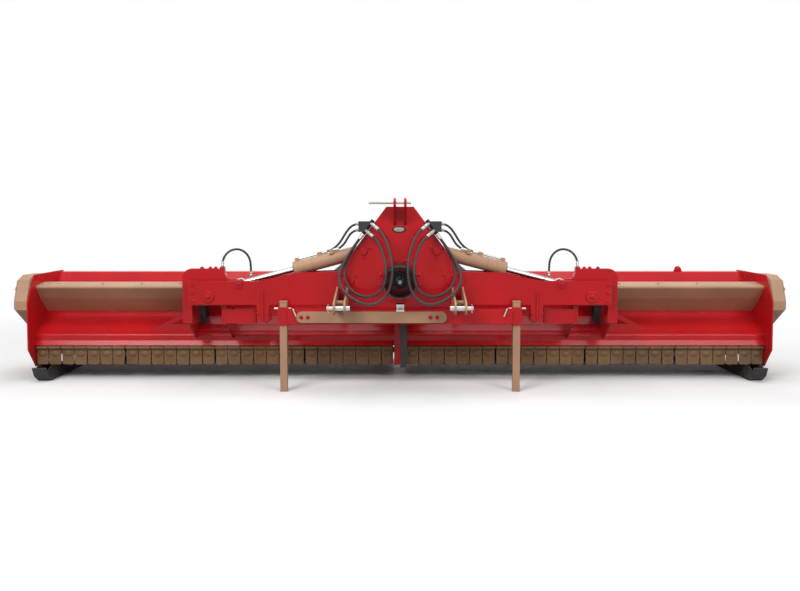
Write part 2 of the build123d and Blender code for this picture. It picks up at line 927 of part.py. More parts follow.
def lug():
    outline = [
        (lug_outer_x, lug_low),
        (lug_outer_x, lug_top),
        (lug_inner_x, lug_top),
        (lug_inner_x, lug_low),
        (lug_inner_x - lug_leg_inner, lug_low),
        (lug_inner_x - lug_leg_inner, lug_arch),
        (lug_outer_x + lug_leg_outer, lug_arch),
        (lug_outer_x + lug_leg_outer, lug_low),
    ]
    face = make_face(Polyline(*outline, close=True))
    face = fillet(face.vertices().filter_by_position(Axis.Y, lug_top - 1, lug_top + 1), lug_round)
    plate = extrude(Plane.XZ.offset(-arm_y + lug_t / 2) * face, amount=-lug_t)
    boss = (arm_width - 2 * arm_plate_t) / 2 - side_play
    plate += rod_y(lug_boss_r, arm_y - boss, arm_y + boss, float_x, float_z)
    half = port_width / 2
    plate += block(
        lug_port_x - half, lug_port_x + half, arm_y - half, arm_y + half,
        lug_top - lug_round, lug_top + lug_port_height,
    )
    return plate - rod_y(float_pin_r + turn_gap, arm_y - arm_width, arm_y + arm_width, float_x, float_z)


def wing_bracket():
    lug_back = arm_y + lug_t / 2
    cheek = [(lug_back, cheek_top)] + behind(cheek_path) + [(lug_back, cheek_low)]
    bracket = lug()
    leg_x = lug_outer_x + cheek_inset
    for x in (leg_x, lug_inner_x - cheek_t):
        bracket += plate_yz(cheek, x, cheek_t)
    brace = [
        (leg_x, brace_top),
        (lug_outer_x - brace_out, brace_top),
        (brace_tip_x, brace_toe),
        (brace_tip_x, brace_low),
        (leg_x, brace_low),
    ]
    window = [
        (leg_x - window_rim, window_top),
        (leg_x - window_rim, window_low),
        (brace_tip_x + window_tip, window_low),
    ]
    brace_y = wing_y + brace_back
    bracket += plate_xz(brace, brace_y, brace_t) - plate_xz(window, brace_y - 1, brace_t + 2)
    bracket += block(
        lug_inner_x - cheek_t, inner_beam_end_x, arm_y - inner_beam_depth / 2, arm_y + inner_beam_depth / 2,
        lug_low, lug_low + inner_beam_height,
    )
    return bracket - under_hood()


def front_flaps():
    y = wing_y + flap_back
    row = rod_x(flap_rod_r, hood_left, hood_right, y, flap_rod_z)
    pitch = (hood_right - hood_left) / flap_count
    flap = block(flap_gap / 2, pitch - flap_gap / 2, y - flap_t / 2, y + flap_t / 2, flap_low, flap_rod_z)
    flap += rod_x(flap_eye_r, flap_gap / 2, pitch - flap_gap / 2, y, flap_rod_z)
    return row + [Pos(hood_left + number * pitch, 0, 0) * flap for number in range(flap_count)]


def skid():
    runner = sheet(skid_path, skid_t, outer_x, outer_x + skid_width, skid_bend)
    table = (
        # x of the flank, how far back its tall part reaches
        (outer_x, skid_tail - skid_web_front),
        (outer_x + skid_width - skid_t, skid_web_end),
    )
    for x, tall in table:
        top = [(tall + skid_top - skid_web_low, skid_web_low), (tall, skid_top), (skid_web_front, skid_top)]
        runner += plate_yz(behind(skid_web_outline + top), x, skid_t)
    return runner


# Hoses

def cord(points, radius):
    """A round hose: straight runs joined by arcs as large as the runs allow."""
    places = [Vector(*p) for p in points]
    radii = []
    for before, here, after in zip(places, places[1:], places[2:]):
        run = min((here - before).length, (after - here).length)
        turn = (here - before).get_angle(after - here)
        radii.append(0.45 * run / math.tan(math.radians(turn) / 2))
    path = FilletPolyline(*points, radius=radii)
    section = Plane(origin=points[0], z_dir=places[1] - places[0]) * Circle(radius)
    tube = sweep(section, path=path)
    share = tube.volume / (math.pi * radius ** 2 * path.length)
    print(f"hose {path.length:.0f} mm, tightest bend {min(radii):.0f} mm, volume share {share:.3f}")
    return tube


def from_hitch(points):
    return [(x, hitch_y + y, z) for x, y, z in points]


holder_x = -226
holder_z = 1175
slope_length = math.hypot(frame_slope, 1)
down_x = -frame_slope / slope_length
down_z = -1 / slope_length
in_x = -down_z
in_z = down_x


def on_holder(along_slope, inward):
    x = holder_x + along_slope * down_x + inward * in_x
    z = holder_z + along_slope * down_z + inward * in_z
    return x, z


def holder_at_height(z, inward):
    return on_holder((z - holder_z - inward * in_z) / down_z, inward)


holder_half = 60
holder_thick = 15
coupler_step = 31
feed_face_x = on_holder(holder_half, -holder_thick)[0] - feed_block_out
coupler_in = holder_thick - holder_bevel / 2
coupler_out = holder_depth - holder_bevel / 2
slant = math.sqrt(0.5)


def hose_holders():
    section = [
        # inwards from the middle of the holder, forwards from the front plate
        (-holder_thick, 0),
        (holder_thick, 0),
        (holder_thick, holder_depth - holder_bevel),
        (holder_thick - holder_bevel, holder_depth),
        (-holder_thick, holder_depth),
    ]
    place = Plane(origin=(holder_x, front_plate_y, holder_z), x_dir=(in_x, 0, in_z), z_dir=(down_x, 0, down_z))
    bar = extrude(place * make_face(Polyline(*section, close=True)), amount=holder_half, both=True)
    feed_outline = [
        (feed_face_x, feed_block_low),
        (feed_face_x, feed_block_top),
        holder_at_height(feed_block_top, holder_thick - holder_bevel),
        holder_at_height(feed_block_low, holder_thick - holder_bevel),
    ]
    feed = plate_xz(feed_outline, front_plate_y - holder_depth, holder_depth)
    corner = feed.edges().filter_by(Axis.Z).sort_by(Axis.X)[:2].sort_by(Axis.Y)[-1]
    return both(bar + chamfer(corner, feed_block_bevel))


def coupler_point(along_slope, reach):
    """A point on the axis of a coupler, which slants forwards and inwards from the holder's bevel."""
    x, z = on_holder(along_slope, coupler_in + reach * slant)
    return (x, front_plate_setback - coupler_out - reach * slant, z)


def hose_couplers():
    couplers = None
    for step in (-coupler_step, coupler_step):
        start, end = from_hitch([coupler_point(step, 0), coupler_point(step, coupler_length)])
        place = Plane(origin=start, z_dir=Vector(*end) - Vector(*start)).location
        coupler = place * along(coupler_r, 0, coupler_length)
        couplers = coupler if couplers is None else couplers + coupler
    return both(couplers)


def holder_point(along_slope, inward, y):
    x, z = on_holder(along_slope, inward)
    return (x, y, z)


def feed_point(reach, z):
    """A point on a feed hose's straight start, which slants outwards and to the rear from the holder."""
    x = feed_face_x + feed_block_bevel / 2 - reach * slant
    return (x, front_plate_setback - feed_block_bevel / 2 + reach * slant, z)


outer_start_y = front_plate_setback - 34
inner_start_y = front_plate_setback - 12

outer_hose_points = from_hitch(
    [
        holder_point(holder_half, 0, outer_start_y),
        holder_point(holder_half + 84, 0, outer_start_y),
        (-362, 287, 986),
        (-404, 264, 914),
        (-430, 226, 842),
        (-424, 172, 778),
        (-388, 118, 730),
        (-342, 78, 694),
        (-272, 54, 656),
        (-192, 46, 644),
        (-122, 45, 676),
        (-76, 46, 740),
        (-56, 47, 820),
        (-52, 54, 902),
        (-62, 82, 976),
        (-80, 124, 1042),
        (-106, 168, 1100),
        coupler_point(-coupler_step, coupler_length + 66),
        coupler_point(-coupler_step, coupler_length),
    ]
)

inner_hose_points = from_hitch(
    [
        holder_point(holder_half, 0, inner_start_y),
        holder_point(holder_half + 78, 0, inner_start_y),
        (-352, 312, 996),
        (-384, 296, 926),
        (-396, 268, 854),
        (-384, 228, 790),
        (-350, 184, 740),
        (-298, 142, 706),
        (-236, 106, 694),
        (-172, 78, 706),
        (-122, 60, 748),
        (-98, 54, 812),
        (-94, 58, 884),
        (-104, 84, 954),
        (-124, 126, 1014),
        (-147, 170, 1062),
        coupler_point(coupler_step, coupler_length + 62),
        coupler_point(coupler_step, coupler_length),
    ]
)


def barrel_point(s, offset, across):
    """A point s along the left cylinder from its base pin, offset above its axis and across it."""
    way = Vector(rod_eye_x - cylinder_base_x, 0, rod_eye_z - cylinder_base_z).normalized()
    x = cylinder_base_x + s * way.X + offset * way.Z
    z = cylinder_base_z + s * way.Z - offset * way.X
    return (x, arm_y - hitch_y + across, z)


far_face_s = far_port_s - port_length / 2
near_face_s = near_port_s - port_length / 2

far_feed_points = from_hitch(
    [
        feed_point(0, far_feed_z),
        feed_point(55, far_feed_z),
        (-366, 386, 1168),
        (-400, 410, 1120),
        (-430, 426, 1070),
        (-470, 434, 1024),
        barrel_point(far_face_s - 54, port_offset, 0),
        barrel_point(far_face_s, port_offset, 0),
    ]
)

near_feed_points = from_hitch(
    [
        feed_point(0, near_feed_z),
        feed_point(46, near_feed_z),
        (-352, 377, 1132),
        (-378, 391, 1096),
        (-404, 398, 1050),
        barrel_point(near_face_s - 44, port_offset, near_port_side),
        barrel_point(near_face_s, port_offset, near_port_side),
    ]
)

arm_port_y = arm_rear_y - hitch_y + port_width / 2
lug_port_y = arm_y - hitch_y

wing_hose_points = from_hitch(
    [
        (arm_port_x, arm_port_y, arm_port_top),
        (arm_port_x, arm_port_y, arm_port_top + 64),
        (-1111, arm_port_y - 3, 934),
        (-1140, arm_port_y - 18, 984),
        (-1184, arm_port_y - 40, 1010),
        (-1233, lug_port_y + 32, 1006),
        (-1273, lug_port_y + 11, 975),
        (lug_port_x, lug_port_y, lug_top + lug_port_height + 45),
        (lug_port_x, lug_port_y, lug_top + lug_port_height),
    ]
)

hose_table = (
    # name, route, radius
    ("tractor_hose_outer", outer_hose_points, hose_r),
    ("tractor_hose_inner", inner_hose_points, hose_r),
    ("feed_hose_far", far_feed_points, feed_hose_r),
    ("feed_hose_near", near_feed_points, feed_hose_r),
    ("wing_hose", wing_hose_points, feed_hose_r),
)

for name, points, radius in hose_table:
    add_pair(name, cord(points, radius))

add("headstock_front_plate", headstock_front_plate())
add("headstock_rear_frame", headstock_rear_frame())
add("top_link_ears", top_link_ears())
add("top_link_pin", top_link_pin())
add("hitch_brackets", hitch_brackets())
add("hitch_spacers", hitch_spacers())
add("lower_link_pins", lower_link_pins())
add("cross_tube", cross_tube())
add("stand_pins", stand_pins())
add("transport_tie_bar", transport_tie_bar())
add("frame_pins", frame_pins())
add("pto_ring", pto_ring())
add("pto_shield", pto_shield())
add("center_gearbox", center_gearbox())
add("pto_stub_shaft", pto_stub_shaft())
add("hose_holders", hose_holders())
add("hose_couplers", hose_couplers())
add_pair("stand_leg", stand_leg())
add_pair("arm", arm())
add_pair("float_pin", float_pin())
add_pair("drive_shaft", drive_shaft())
add_pair("cylinder_barrel", cylinder_barrel())
add_pair("cylinder_rod", cylinder_rod())
add_pair("hood", hood())
add_pair("side_plates", side_plates())
add_pair("wing_bracket", wing_bracket())
add_pair("wing_gearbox", wing_gearbox())
add_pair("belt_cover", belt_cover())
add_pair("shaft_cover", shaft_cover())
add_pair("front_flaps", front_flaps())
add_pair("skid", skid())
add_pair("rotor", rotor())
add_pair("roller", roller())

for name, shape in nodes.items():
    export_step(shape, f"parts/{name}.step")

whole = Compound(children=list(nodes.values())).bounding_box()
print(len(nodes), "nodes", whole.min, whole.max)
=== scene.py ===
import json
import math
import random

import bmesh
import bpy
from bpy.props import FloatProperty, FloatVectorProperty, IntProperty, PointerProperty
from mathutils import Matrix, Vector


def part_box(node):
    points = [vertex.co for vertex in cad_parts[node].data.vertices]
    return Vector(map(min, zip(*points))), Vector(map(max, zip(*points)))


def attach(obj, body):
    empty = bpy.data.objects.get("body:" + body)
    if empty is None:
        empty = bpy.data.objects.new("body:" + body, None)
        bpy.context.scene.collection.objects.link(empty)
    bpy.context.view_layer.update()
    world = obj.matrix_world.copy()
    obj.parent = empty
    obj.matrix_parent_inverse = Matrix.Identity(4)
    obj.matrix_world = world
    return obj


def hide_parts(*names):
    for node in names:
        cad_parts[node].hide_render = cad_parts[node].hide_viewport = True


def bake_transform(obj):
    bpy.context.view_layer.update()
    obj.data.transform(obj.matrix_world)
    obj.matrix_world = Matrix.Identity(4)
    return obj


bl_info = {
    "name": "Folding field mulcher",
    "version": (1, 0, 0),
    "blender": (4, 5, 0),
    "location": "3D View > Sidebar > Mulcher",
    "description": "Dresses the packed solids of a folding field mulcher",
    "category": "Object",
}

# The frame: X runs across the machine, Y from the tractor to the rear and Z up, in metres.
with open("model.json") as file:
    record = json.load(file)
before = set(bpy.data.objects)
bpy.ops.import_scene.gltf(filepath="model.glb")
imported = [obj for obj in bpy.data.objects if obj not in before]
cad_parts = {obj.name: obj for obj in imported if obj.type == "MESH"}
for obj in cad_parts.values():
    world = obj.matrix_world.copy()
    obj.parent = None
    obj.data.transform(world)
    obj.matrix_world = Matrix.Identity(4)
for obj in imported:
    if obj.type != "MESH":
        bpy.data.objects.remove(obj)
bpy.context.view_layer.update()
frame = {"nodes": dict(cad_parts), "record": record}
SIDES = (("left", 1), ("right", -1))
FORWARD = (0, -1, 0)
BACKWARD = (0, 1, 0)
UPWARD = (0, 0, 1)

# Places that the solids give
hitch_y = -0.7725
front_plate_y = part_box("headstock_front_plate")[0].y
frame_rear_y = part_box("headstock_rear_frame")[1].y
wing_front_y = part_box("side_plates_left")[0].y
outer_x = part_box("side_plates_left")[0].x
arm_front_y = -0.4215
arm_rear_y = -0.2635
arm_y = (arm_front_y + arm_rear_y) / 2
drive_y = 0.0525
drive_z = 0.795
fold_x = -0.369
float_x = -1.385
float_z = 0.670
base_pin = Vector((-0.262, arm_y, 1.000))
rod_eye = Vector((-1.165, arm_y, 0.762))
cylinder_way = (rod_eye - base_pin).normalized()
cylinder_up = Vector((cylinder_way.z, 0, -cylinder_way.x))
roller_back = 0.930
roller_z = 0.085

# Painted pins: radius and radius of the head, then the height and the chamfer of a head
fold_pin_size = (0.030, 0.042)
base_pin_size = (0.020, 0.028)
pin_head = 0.012
pin_chamfer = 0.003

# The skid as the photograph shows it, with outlines of distance behind the wing's front edge and height
skid_inset = 0.040
skid_width = 0.110
skid_t = 0.010
skid_bend = 0.060
skid_path = [(-0.022, 0.112), (0.008, 0.048), (0.070, 0.005), (0.715, 0.005)]
skid_web = [
    (-0.0047, 0.075), (0.018, 0.048), (0.070, 0.005), (0.715, 0.005), (0.715, 0.048), (0.392, 0.048),
    (0.330, 0.110), (0.060, 0.110),
]
skid_flange = [(0.115, 0.100), (0.330, 0.100), (0.330, 0.110), (0.115, 0.110)]

# The rear hood's hinge and the skirt under its edge, behind the wing's front edge
hood_end = 0.010
hinge_back = 0.742
hinge_z = 0.757
hinge_knuckles = 24
skirt_back = 0.870
skirt_t = 0.006
skirt_bottom = 0.190
skirt_top = 0.352
skirt_bolts = 12
skirt_bolt_inset = 0.100
clamp_t = 0.005
clamp_bottom = 0.315
clamp_top = 0.350

# Bolts in a row on the slope behind the flaps
slope_back = 0.215
slope_z = 0.7245
slope_way = (0, -0.11, 1)

# The bar in front of the gap between the wings, and a black strip on it that paints the shadow in the gap
gap_plate_back = 0.088
gap_bar_t = 0.006
gap_shade_strip_t = 0.004

# The drive stub: its splines and the groove that locks a shaft on them
spline_count = 6
spline_steps = 8
spline_crest = 0.01746
spline_root = 0.0148
stub_tip = 0.004
stub_collar = 0.022
stub_journal = 0.030
groove_at = 0.038
groove_width = 0.010

# Guards: radius and distance along of the cones' ends, the outer cone's distances from the far joint
guard_r = 0.115
guard_ribs = 4
inner_cone = ((0.095, 0.070), (0.043, 0.150))
inner_ribs = 6
outer_cone = ((0.052, -0.150), (0.112, 0.085))
outer_ribs = 12
guard_split = 0.52
yoke_half = 0.030

# Gearboxes: half sizes of the housing and its covers, and reach of the covers' bolts from the middle
center_half = Vector((0.150, 0.125, 0.110))
center_cover = Vector((0.105, 0.095, 0.080))
center_reach = Vector((0.090, 0.083, 0.068))
center_cover_t = 0.010
center_flange_t = 0.017
wing_box_x = -1.565
wing_half = Vector((0.075, 0.105, 0.105))
wing_cover = Vector((0.060, 0.085, 0.085))
wing_reach = Vector((0.050, 0.072, 0.072))
wing_cover_t = 0.008
wing_flange_t = 0.012
cover_seat = 0.002

# Front flaps, with the spaces between them and beside the hangers of their rod
flap_space = 0.005
hanger_space = 0.009
flap_rod_r = 0.008
flap_rod_drop = 0.015
flap_t = 0.006
flap_cut = 0.010

# The photograph's view
photo_width = 800
photo_focal = 822
camera_place = (0.0, -6.33, 1.293)
camera_tilt = math.radians(3.0)
camera_shift = -0.0525

# Hose routes on the left: x, distance behind the hitch pins, height
outer_hose_route = [
    (-0.2618, 0.296, 1.1269), (-0.3120, 0.296, 1.0595), (-0.362, 0.287, 0.986), (-0.404, 0.264, 0.914),
    (-0.430, 0.226, 0.842), (-0.424, 0.172, 0.778), (-0.388, 0.118, 0.730), (-0.342, 0.078, 0.694),
    (-0.272, 0.054, 0.656), (-0.192, 0.046, 0.644), (-0.122, 0.045, 0.676), (-0.076, 0.046, 0.740),
    (-0.056, 0.047, 0.820), (-0.052, 0.054, 0.902), (-0.062, 0.082, 0.976), (-0.080, 0.124, 1.042),
    (-0.106, 0.168, 1.100), (-0.1385, 0.2130, 1.1485), (-0.1759, 0.2596, 1.1764),
]
inner_hose_route = [
    (-0.2618, 0.318, 1.1269), (-0.3084, 0.318, 1.0643), (-0.352, 0.312, 0.996), (-0.384, 0.296, 0.926),
    (-0.396, 0.268, 0.854), (-0.384, 0.228, 0.790), (-0.350, 0.184, 0.740), (-0.298, 0.142, 0.706),
    (-0.236, 0.106, 0.694), (-0.172, 0.078, 0.706), (-0.122, 0.060, 0.748), (-0.098, 0.054, 0.812),
    (-0.094, 0.058, 0.884), (-0.104, 0.084, 0.954), (-0.124, 0.126, 1.014), (-0.147, 0.170, 1.062),
    (-0.1778, 0.2158, 1.1004), (-0.2130, 0.2596, 1.1266),
]
far_feed_route = [
    (-0.2829, 0.3170, 1.196), (-0.3218, 0.3559, 1.196), (-0.366, 0.386, 1.168), (-0.400, 0.410, 1.120),
    (-0.430, 0.426, 1.070), (-0.470, 0.434, 1.024), (-0.5205, 0.430, 0.9960), (-0.5727, 0.430, 0.9822),
]
near_feed_route = [
    (-0.2829, 0.3170, 1.152), (-0.3154, 0.3495, 1.152), (-0.352, 0.377, 1.132), (-0.378, 0.391, 1.096),
    (-0.404, 0.398, 1.050), (-0.4432, 0.400, 1.0164), (-0.4857, 0.400, 1.0052),
]
wing_hose_route = [
    (-1.105, 0.527, 0.800), (-1.105, 0.527, 0.864), (-1.111, 0.524, 0.934), (-1.140, 0.509, 0.984),
    (-1.184, 0.487, 1.010), (-1.233, 0.462, 1.006), (-1.273, 0.441, 0.975), (-1.295, 0.430, 0.927),
    (-1.295, 0.430, 0.882),
]


class MulcherSizes(bpy.types.PropertyGroup):
    """Sizes that a user may change"""

    hose: FloatProperty(
        name="Tractor hose", description="Radius of the hoses to the tractor", default=0.010, unit="LENGTH"
    )
    feed_hose: FloatProperty(
        name="Feed hose", description="Radius of the hoses to the cylinders and wings", default=0.008,
        unit="LENGTH",
    )
    ring_bolts: IntProperty(name="Ring bolts", description="Bolts round the drive ring", default=12, min=3)
    ring_bolt_circle: FloatProperty(
        name="Ring bolt circle", description="Radius of the drive ring's bolt circle", default=0.143,
        unit="LENGTH",
    )
    flaps: IntProperty(name="Flaps", description="Flaps along the front of a wing", default=28, min=1)
    flap_group: IntProperty(name="Flap group", description="Flaps between two hangers", default=7, min=1)
    flap_swing: FloatProperty(
        name="Flap swing", description="How unevenly the flaps hang", default=math.radians(3.5),
        subtype="ANGLE",
    )
    edge_round: FloatProperty(
        name="Edge rounding", description="Rounding of painted plate edges", default=0.003, unit="LENGTH"
    )


class MulcherColours(bpy.types.PropertyGroup):
    """Colours that a user may change"""

    red: FloatVectorProperty(
        name="Red paint", description="Enamel of the hoods, arms and headstock", subtype="COLOR",
        default=(0.47, 0.007, 0.011), min=0, max=1,
    )
    tan: FloatVectorProperty(
        name="Tan paint", description="Paint of the covers, barrels and stands", subtype="COLOR",
        default=(0.42, 0.245, 0.150), min=0, max=1,
    )
    # The flaps' tan paint, darkened into painted shade where the hood shades them
    flap: FloatVectorProperty(
        name="Flap paint", description="Tan paint of the front flaps, darkened as painted shade", subtype="COLOR",
        default=(0.165, 0.082, 0.032), min=0, max=1,
    )
    black: FloatVectorProperty(
        name="Black paint", description="Paint of the skids and rollers", subtype="COLOR",
        default=(0.016, 0.016, 0.018), min=0, max=1,
    )
    gearbox: FloatVectorProperty(
        name="Gearbox paint", description="Paint of the cast housings", subtype="COLOR",
        default=(0.030, 0.032, 0.036), min=0, max=1,
    )
    floor: FloatVectorProperty(
        name="Floor", description="Colour of the studio floor", subtype="COLOR",
        default=(0.86, 0.86, 0.86), min=0, max=1,
    )


# Finishes

def socket(group, name, kind, way="INPUT", default=None):
    made = group.interface.new_socket(name=name, in_out=way, socket_type="NodeSocket" + kind)
    if default is not None:
        made.default_value = default
    return made


def wire(tree, *pairs):
    for start, end in pairs:
        tree.links.new(start, end)


def noise_node(tree, coords, scale, detail=3.0, rough=0.5):
    node = tree.nodes.new("ShaderNodeTexNoise")
    node.inputs["Scale"].default_value = scale
    node.inputs["Detail"].default_value = detail
    node.inputs["Roughness"].default_value = rough
    tree.links.new(coords, node.inputs["Vector"])
    return node


def range_node(tree, value, low, high, to_low=0.0, to_high=1.0):
    node = tree.nodes.new("ShaderNodeMapRange")
    for name, number in (("From Min", low), ("From Max", high), ("To Min", to_low), ("To Max", to_high)):
        node.inputs[name].default_value = number
    tree.links.new(value, node.inputs["Value"])
    return node.outputs["Result"]


def feed(tree, slot, value):
    """Sets a socket to a plain value, or links it."""
    if isinstance(value, (int, float, tuple)):
        slot.default_value = value
    else:
        tree.links.new(value, slot)


def math_node(tree, operation, a, b):
    node = tree.nodes.new("ShaderNodeMath")
    node.operation = operation
    for slot, value in zip(node.inputs, (a, b)):
        feed(tree, slot, value)
    return node.outputs[0]


def mix_colour(tree, factor, a, b):
    node = tree.nodes.new("ShaderNodeMix")
    node.data_type = "RGBA"
    for number, value in ((0, factor), (6, a), (7, b)):
        feed(tree, node.inputs[number], value)
    return node.outputs[2]


def seen_rays(tree):
    """The kinds of ray, and a mask of those that the camera, a mirror or a clear piece sends out."""
    rays = tree.nodes.new("ShaderNodeLightPath").outputs
    seen = math_node(tree, "MAXIMUM", rays["Is Camera Ray"], rays["Is Glossy Ray"])
    return rays, math_node(tree, "MAXIMUM", seen, rays["Is Transmission Ray"])


def edge_group():
    """A mask of the outer edges and a normal that rounds them."""
    group = bpy.data.node_groups.new("Rounded edges", "ShaderNodeTree")
    socket(group, "Radius", "Float", default=0.003)
    socket(group, "Edge", "Float", "OUTPUT")
    socket(group, "Normal", "Vector", "OUTPUT")
    source = group.nodes.new("NodeGroupInput")
    sink = group.nodes.new("NodeGroupOutput")
    bevel = group.nodes.new("ShaderNodeBevel")
    bevel.samples = 6
    surface = group.nodes.new("ShaderNodeNewGeometry")
    dot = group.nodes.new("ShaderNodeVectorMath")
    dot.operation = "DOT_PRODUCT"
    wire(
        group,
        (source.outputs["Radius"], bevel.inputs["Radius"]),
        (bevel.outputs["Normal"], dot.inputs[0]),
        (surface.outputs["Normal"], dot.inputs[1]),
        (bevel.outputs["Normal"], sink.inputs["Normal"]),
    )
    edge = range_node(group, dot.outputs["Value"], 0.98, 0.75)
    wire(group, (edge, sink.inputs["Edge"]))
    return group


def film_group():
    """Slow tone changes, a thin film of dust low down and on upward faces, and the paint's fine waves."""
    group = bpy.data.node_groups.new("Paint film", "ShaderNodeTree")
    socket(group, "Colour", "Color", default=(0.5, 0.5, 0.5, 1))
    socket(group, "Tone", "Float", default=0.12)
    socket(group, "Dust", "Float", default=0.2)
    socket(group, "Dust Colour", "Color", default=(0.42, 0.36, 0.29, 1))
    socket(group, "Wave Scale", "Float", default=180.0)
    socket(group, "Gloss", "Float", default=0.3)
    socket(group, "Colour", "Color", "OUTPUT")
    socket(group, "Roughness", "Float", "OUTPUT")
    socket(group, "Height", "Float", "OUTPUT")
    source = group.nodes.new("NodeGroupInput")
    sink = group.nodes.new("NodeGroupOutput")
    place = group.nodes.new("ShaderNodeTexCoord").outputs["Object"]
    slow = noise_node(group, place, 2.6, 4.0, 0.55).outputs["Fac"]
    patch = noise_node(group, place, 11.0, 6.0, 0.62).outputs["Fac"]
    speck = noise_node(group, place, 320.0, 2.0).outputs["Fac"]
    wave = noise_node(group, place, 180.0, 2.0)
    wire(group, (source.outputs["Wave Scale"], wave.inputs["Scale"]))
    tone = math_node(group, "MULTIPLY", range_node(group, slow, 0.3, 0.7, -1.0, 1.0), source.outputs["Tone"])
    bright = math_node(group, "ADD", tone, 1.0)
    toned = group.nodes.new("ShaderNodeVectorMath")
    toned.operation = "SCALE"
    wire(group, (source.outputs["Colour"], toned.inputs[0]), (bright, toned.inputs["Scale"]))
    parts = group.nodes.new("ShaderNodeSeparateXYZ")
    wire(group, (place, parts.inputs[0]))
    low = range_node(group, parts.outputs["Z"], 0.55, 0.02)
    facing = group.nodes.new("ShaderNodeSeparateXYZ")
    wire(group, (group.nodes.new("ShaderNodeNewGeometry").outputs["Normal"], facing.inputs[0]))
    upward = range_node(group, facing.outputs["Z"], 0.55, 1.0, 0.0, 0.55)
    settled = math_node(group, "MAXIMUM", low, upward)
    patchy = range_node(group, patch, 0.38, 0.72, 0.15, 1.0)
    grain = range_node(group, speck, 0.3, 0.7, 0.75, 1.0)
    dust = math_node(group, "MULTIPLY", math_node(group, "MULTIPLY", settled, patchy), grain)
    dust = math_node(group, "MULTIPLY", dust, source.outputs["Dust"])
    dusty = mix_colour(group, dust, toned.outputs[0], source.outputs["Dust Colour"])
    rough = math_node(group, "ADD", source.outputs["Gloss"], math_node(group, "MULTIPLY", dust, 0.5))
    rough = math_node(group, "ADD", rough, range_node(group, patch, 0.3, 0.7, -0.04, 0.05))
    wire(
        group,
        (dusty, sink.inputs["Colour"]),
        (rough, sink.inputs["Roughness"]),
        (wave.outputs["Fac"], sink.inputs["Height"]),
    )
    return group


def new_material(name):
    material = bpy.data.materials.new(name)
    material.use_nodes = True
    tree = material.node_tree
    shader = tree.nodes["Principled BSDF"]
    return material, tree, shader


def add_group(tree, group, **values):
    node = tree.nodes.new("ShaderNodeGroup")
    node.node_tree = group
    for name, value in values.items():
        node.inputs[name.replace("_", " ")].default_value = value
    return node


def add_bump(tree, shader, height, normal, distance, strength):
    bump = tree.nodes.new("ShaderNodeBump")
    bump.inputs["Distance"].default_value = distance
    bump.inputs["Strength"].default_value = strength
    wire(tree, (height, bump.inputs["Height"]), (bump.outputs["Normal"], shader.inputs["Normal"]))
    wire(tree, (normal, bump.inputs["Normal"]))


def paint(name, colour, groups, gloss, tone, dust, wave, coat, shine, edge_round, edge_highlight_colour):
    """Sprayed enamel: colour, film of dust, fine waves, and a painted highlight that lightens the edges."""
    material, tree, shader = new_material(name)
    film = add_group(
        tree, groups["film"], Colour=(*colour, 1), Tone=tone, Dust=dust, Wave_Scale=wave, Gloss=gloss
    )
    edges = add_group(tree, groups["edge"], Radius=edge_round)
    # Painted highlight: the outer edges are mixed towards a paler tint of the paint
    edge_highlight = math_node(tree, "MULTIPLY", edges.outputs["Edge"], 0.22)
    shade = mix_colour(tree, edge_highlight, film.outputs["Colour"], (*edge_highlight_colour, 1))
    wire(tree, (shade, shader.inputs["Base Color"]), (film.outputs["Roughness"], shader.inputs["Roughness"]))
    shader.inputs["Specular IOR Level"].default_value = shine
    shader.inputs["Coat Weight"].default_value = coat
    shader.inputs["Coat Roughness"].default_value = 0.10
    add_bump(tree, shader, film.outputs["Height"], edges.outputs["Normal"], 0.0004, 0.22)
    return material


def bare_metal(name, colour, groups, gloss, tint, tint_amount, scale, edge_round):
    """Plated, turned or worn metal with a mottled sheen."""
    material, tree, shader = new_material(name)
    place = tree.nodes.new("ShaderNodeTexCoord").outputs["Object"]
    spangle = noise_node(tree, place, scale, 5.0, 0.6).outputs["Fac"]
    stain = noise_node(tree, place, scale * 0.12, 4.0, 0.6).outputs["Fac"]
    amount = range_node(tree, stain, 0.45, 0.75, 0.0, tint_amount)
    dull = [value * 0.82 for value in colour]
    base = mix_colour(tree, range_node(tree, spangle, 0.3, 0.7), (*dull, 1), (*colour, 1))
    shade = mix_colour(tree, amount, base, (*tint, 1))
    rough = math_node(tree, "ADD", range_node(tree, spangle, 0.3, 0.7, gloss - 0.06, gloss + 0.08), amount)
    wire(tree, (shade, shader.inputs["Base Color"]), (rough, shader.inputs["Roughness"]))
    shader.inputs["Metallic"].default_value = 1.0
    edges = add_group(tree, groups["edge"], Radius=edge_round)
    add_bump(tree, shader, spangle, edges.outputs["Normal"], 0.0003, 0.2)
    return material


def moulded(name, colour, groups, gloss, grain, depth, dust):
    """Rubber or plastic with a moulded grain."""
    material, tree, shader = new_material(name)
    film = add_group(
        tree, groups["film"], Colour=(*colour, 1), Tone=0.2, Dust=dust, Wave_Scale=grain, Gloss=gloss
    )
    wire(
        tree,
        (film.outputs["Colour"], shader.inputs["Base Color"]),
        (film.outputs["Roughness"], shader.inputs["Roughness"]),
    )
    edges = add_group(tree, groups["edge"], Radius=0.002)
    add_bump(tree, shader, film.outputs["Height"], edges.outputs["Normal"], depth, 0.35)
    return material


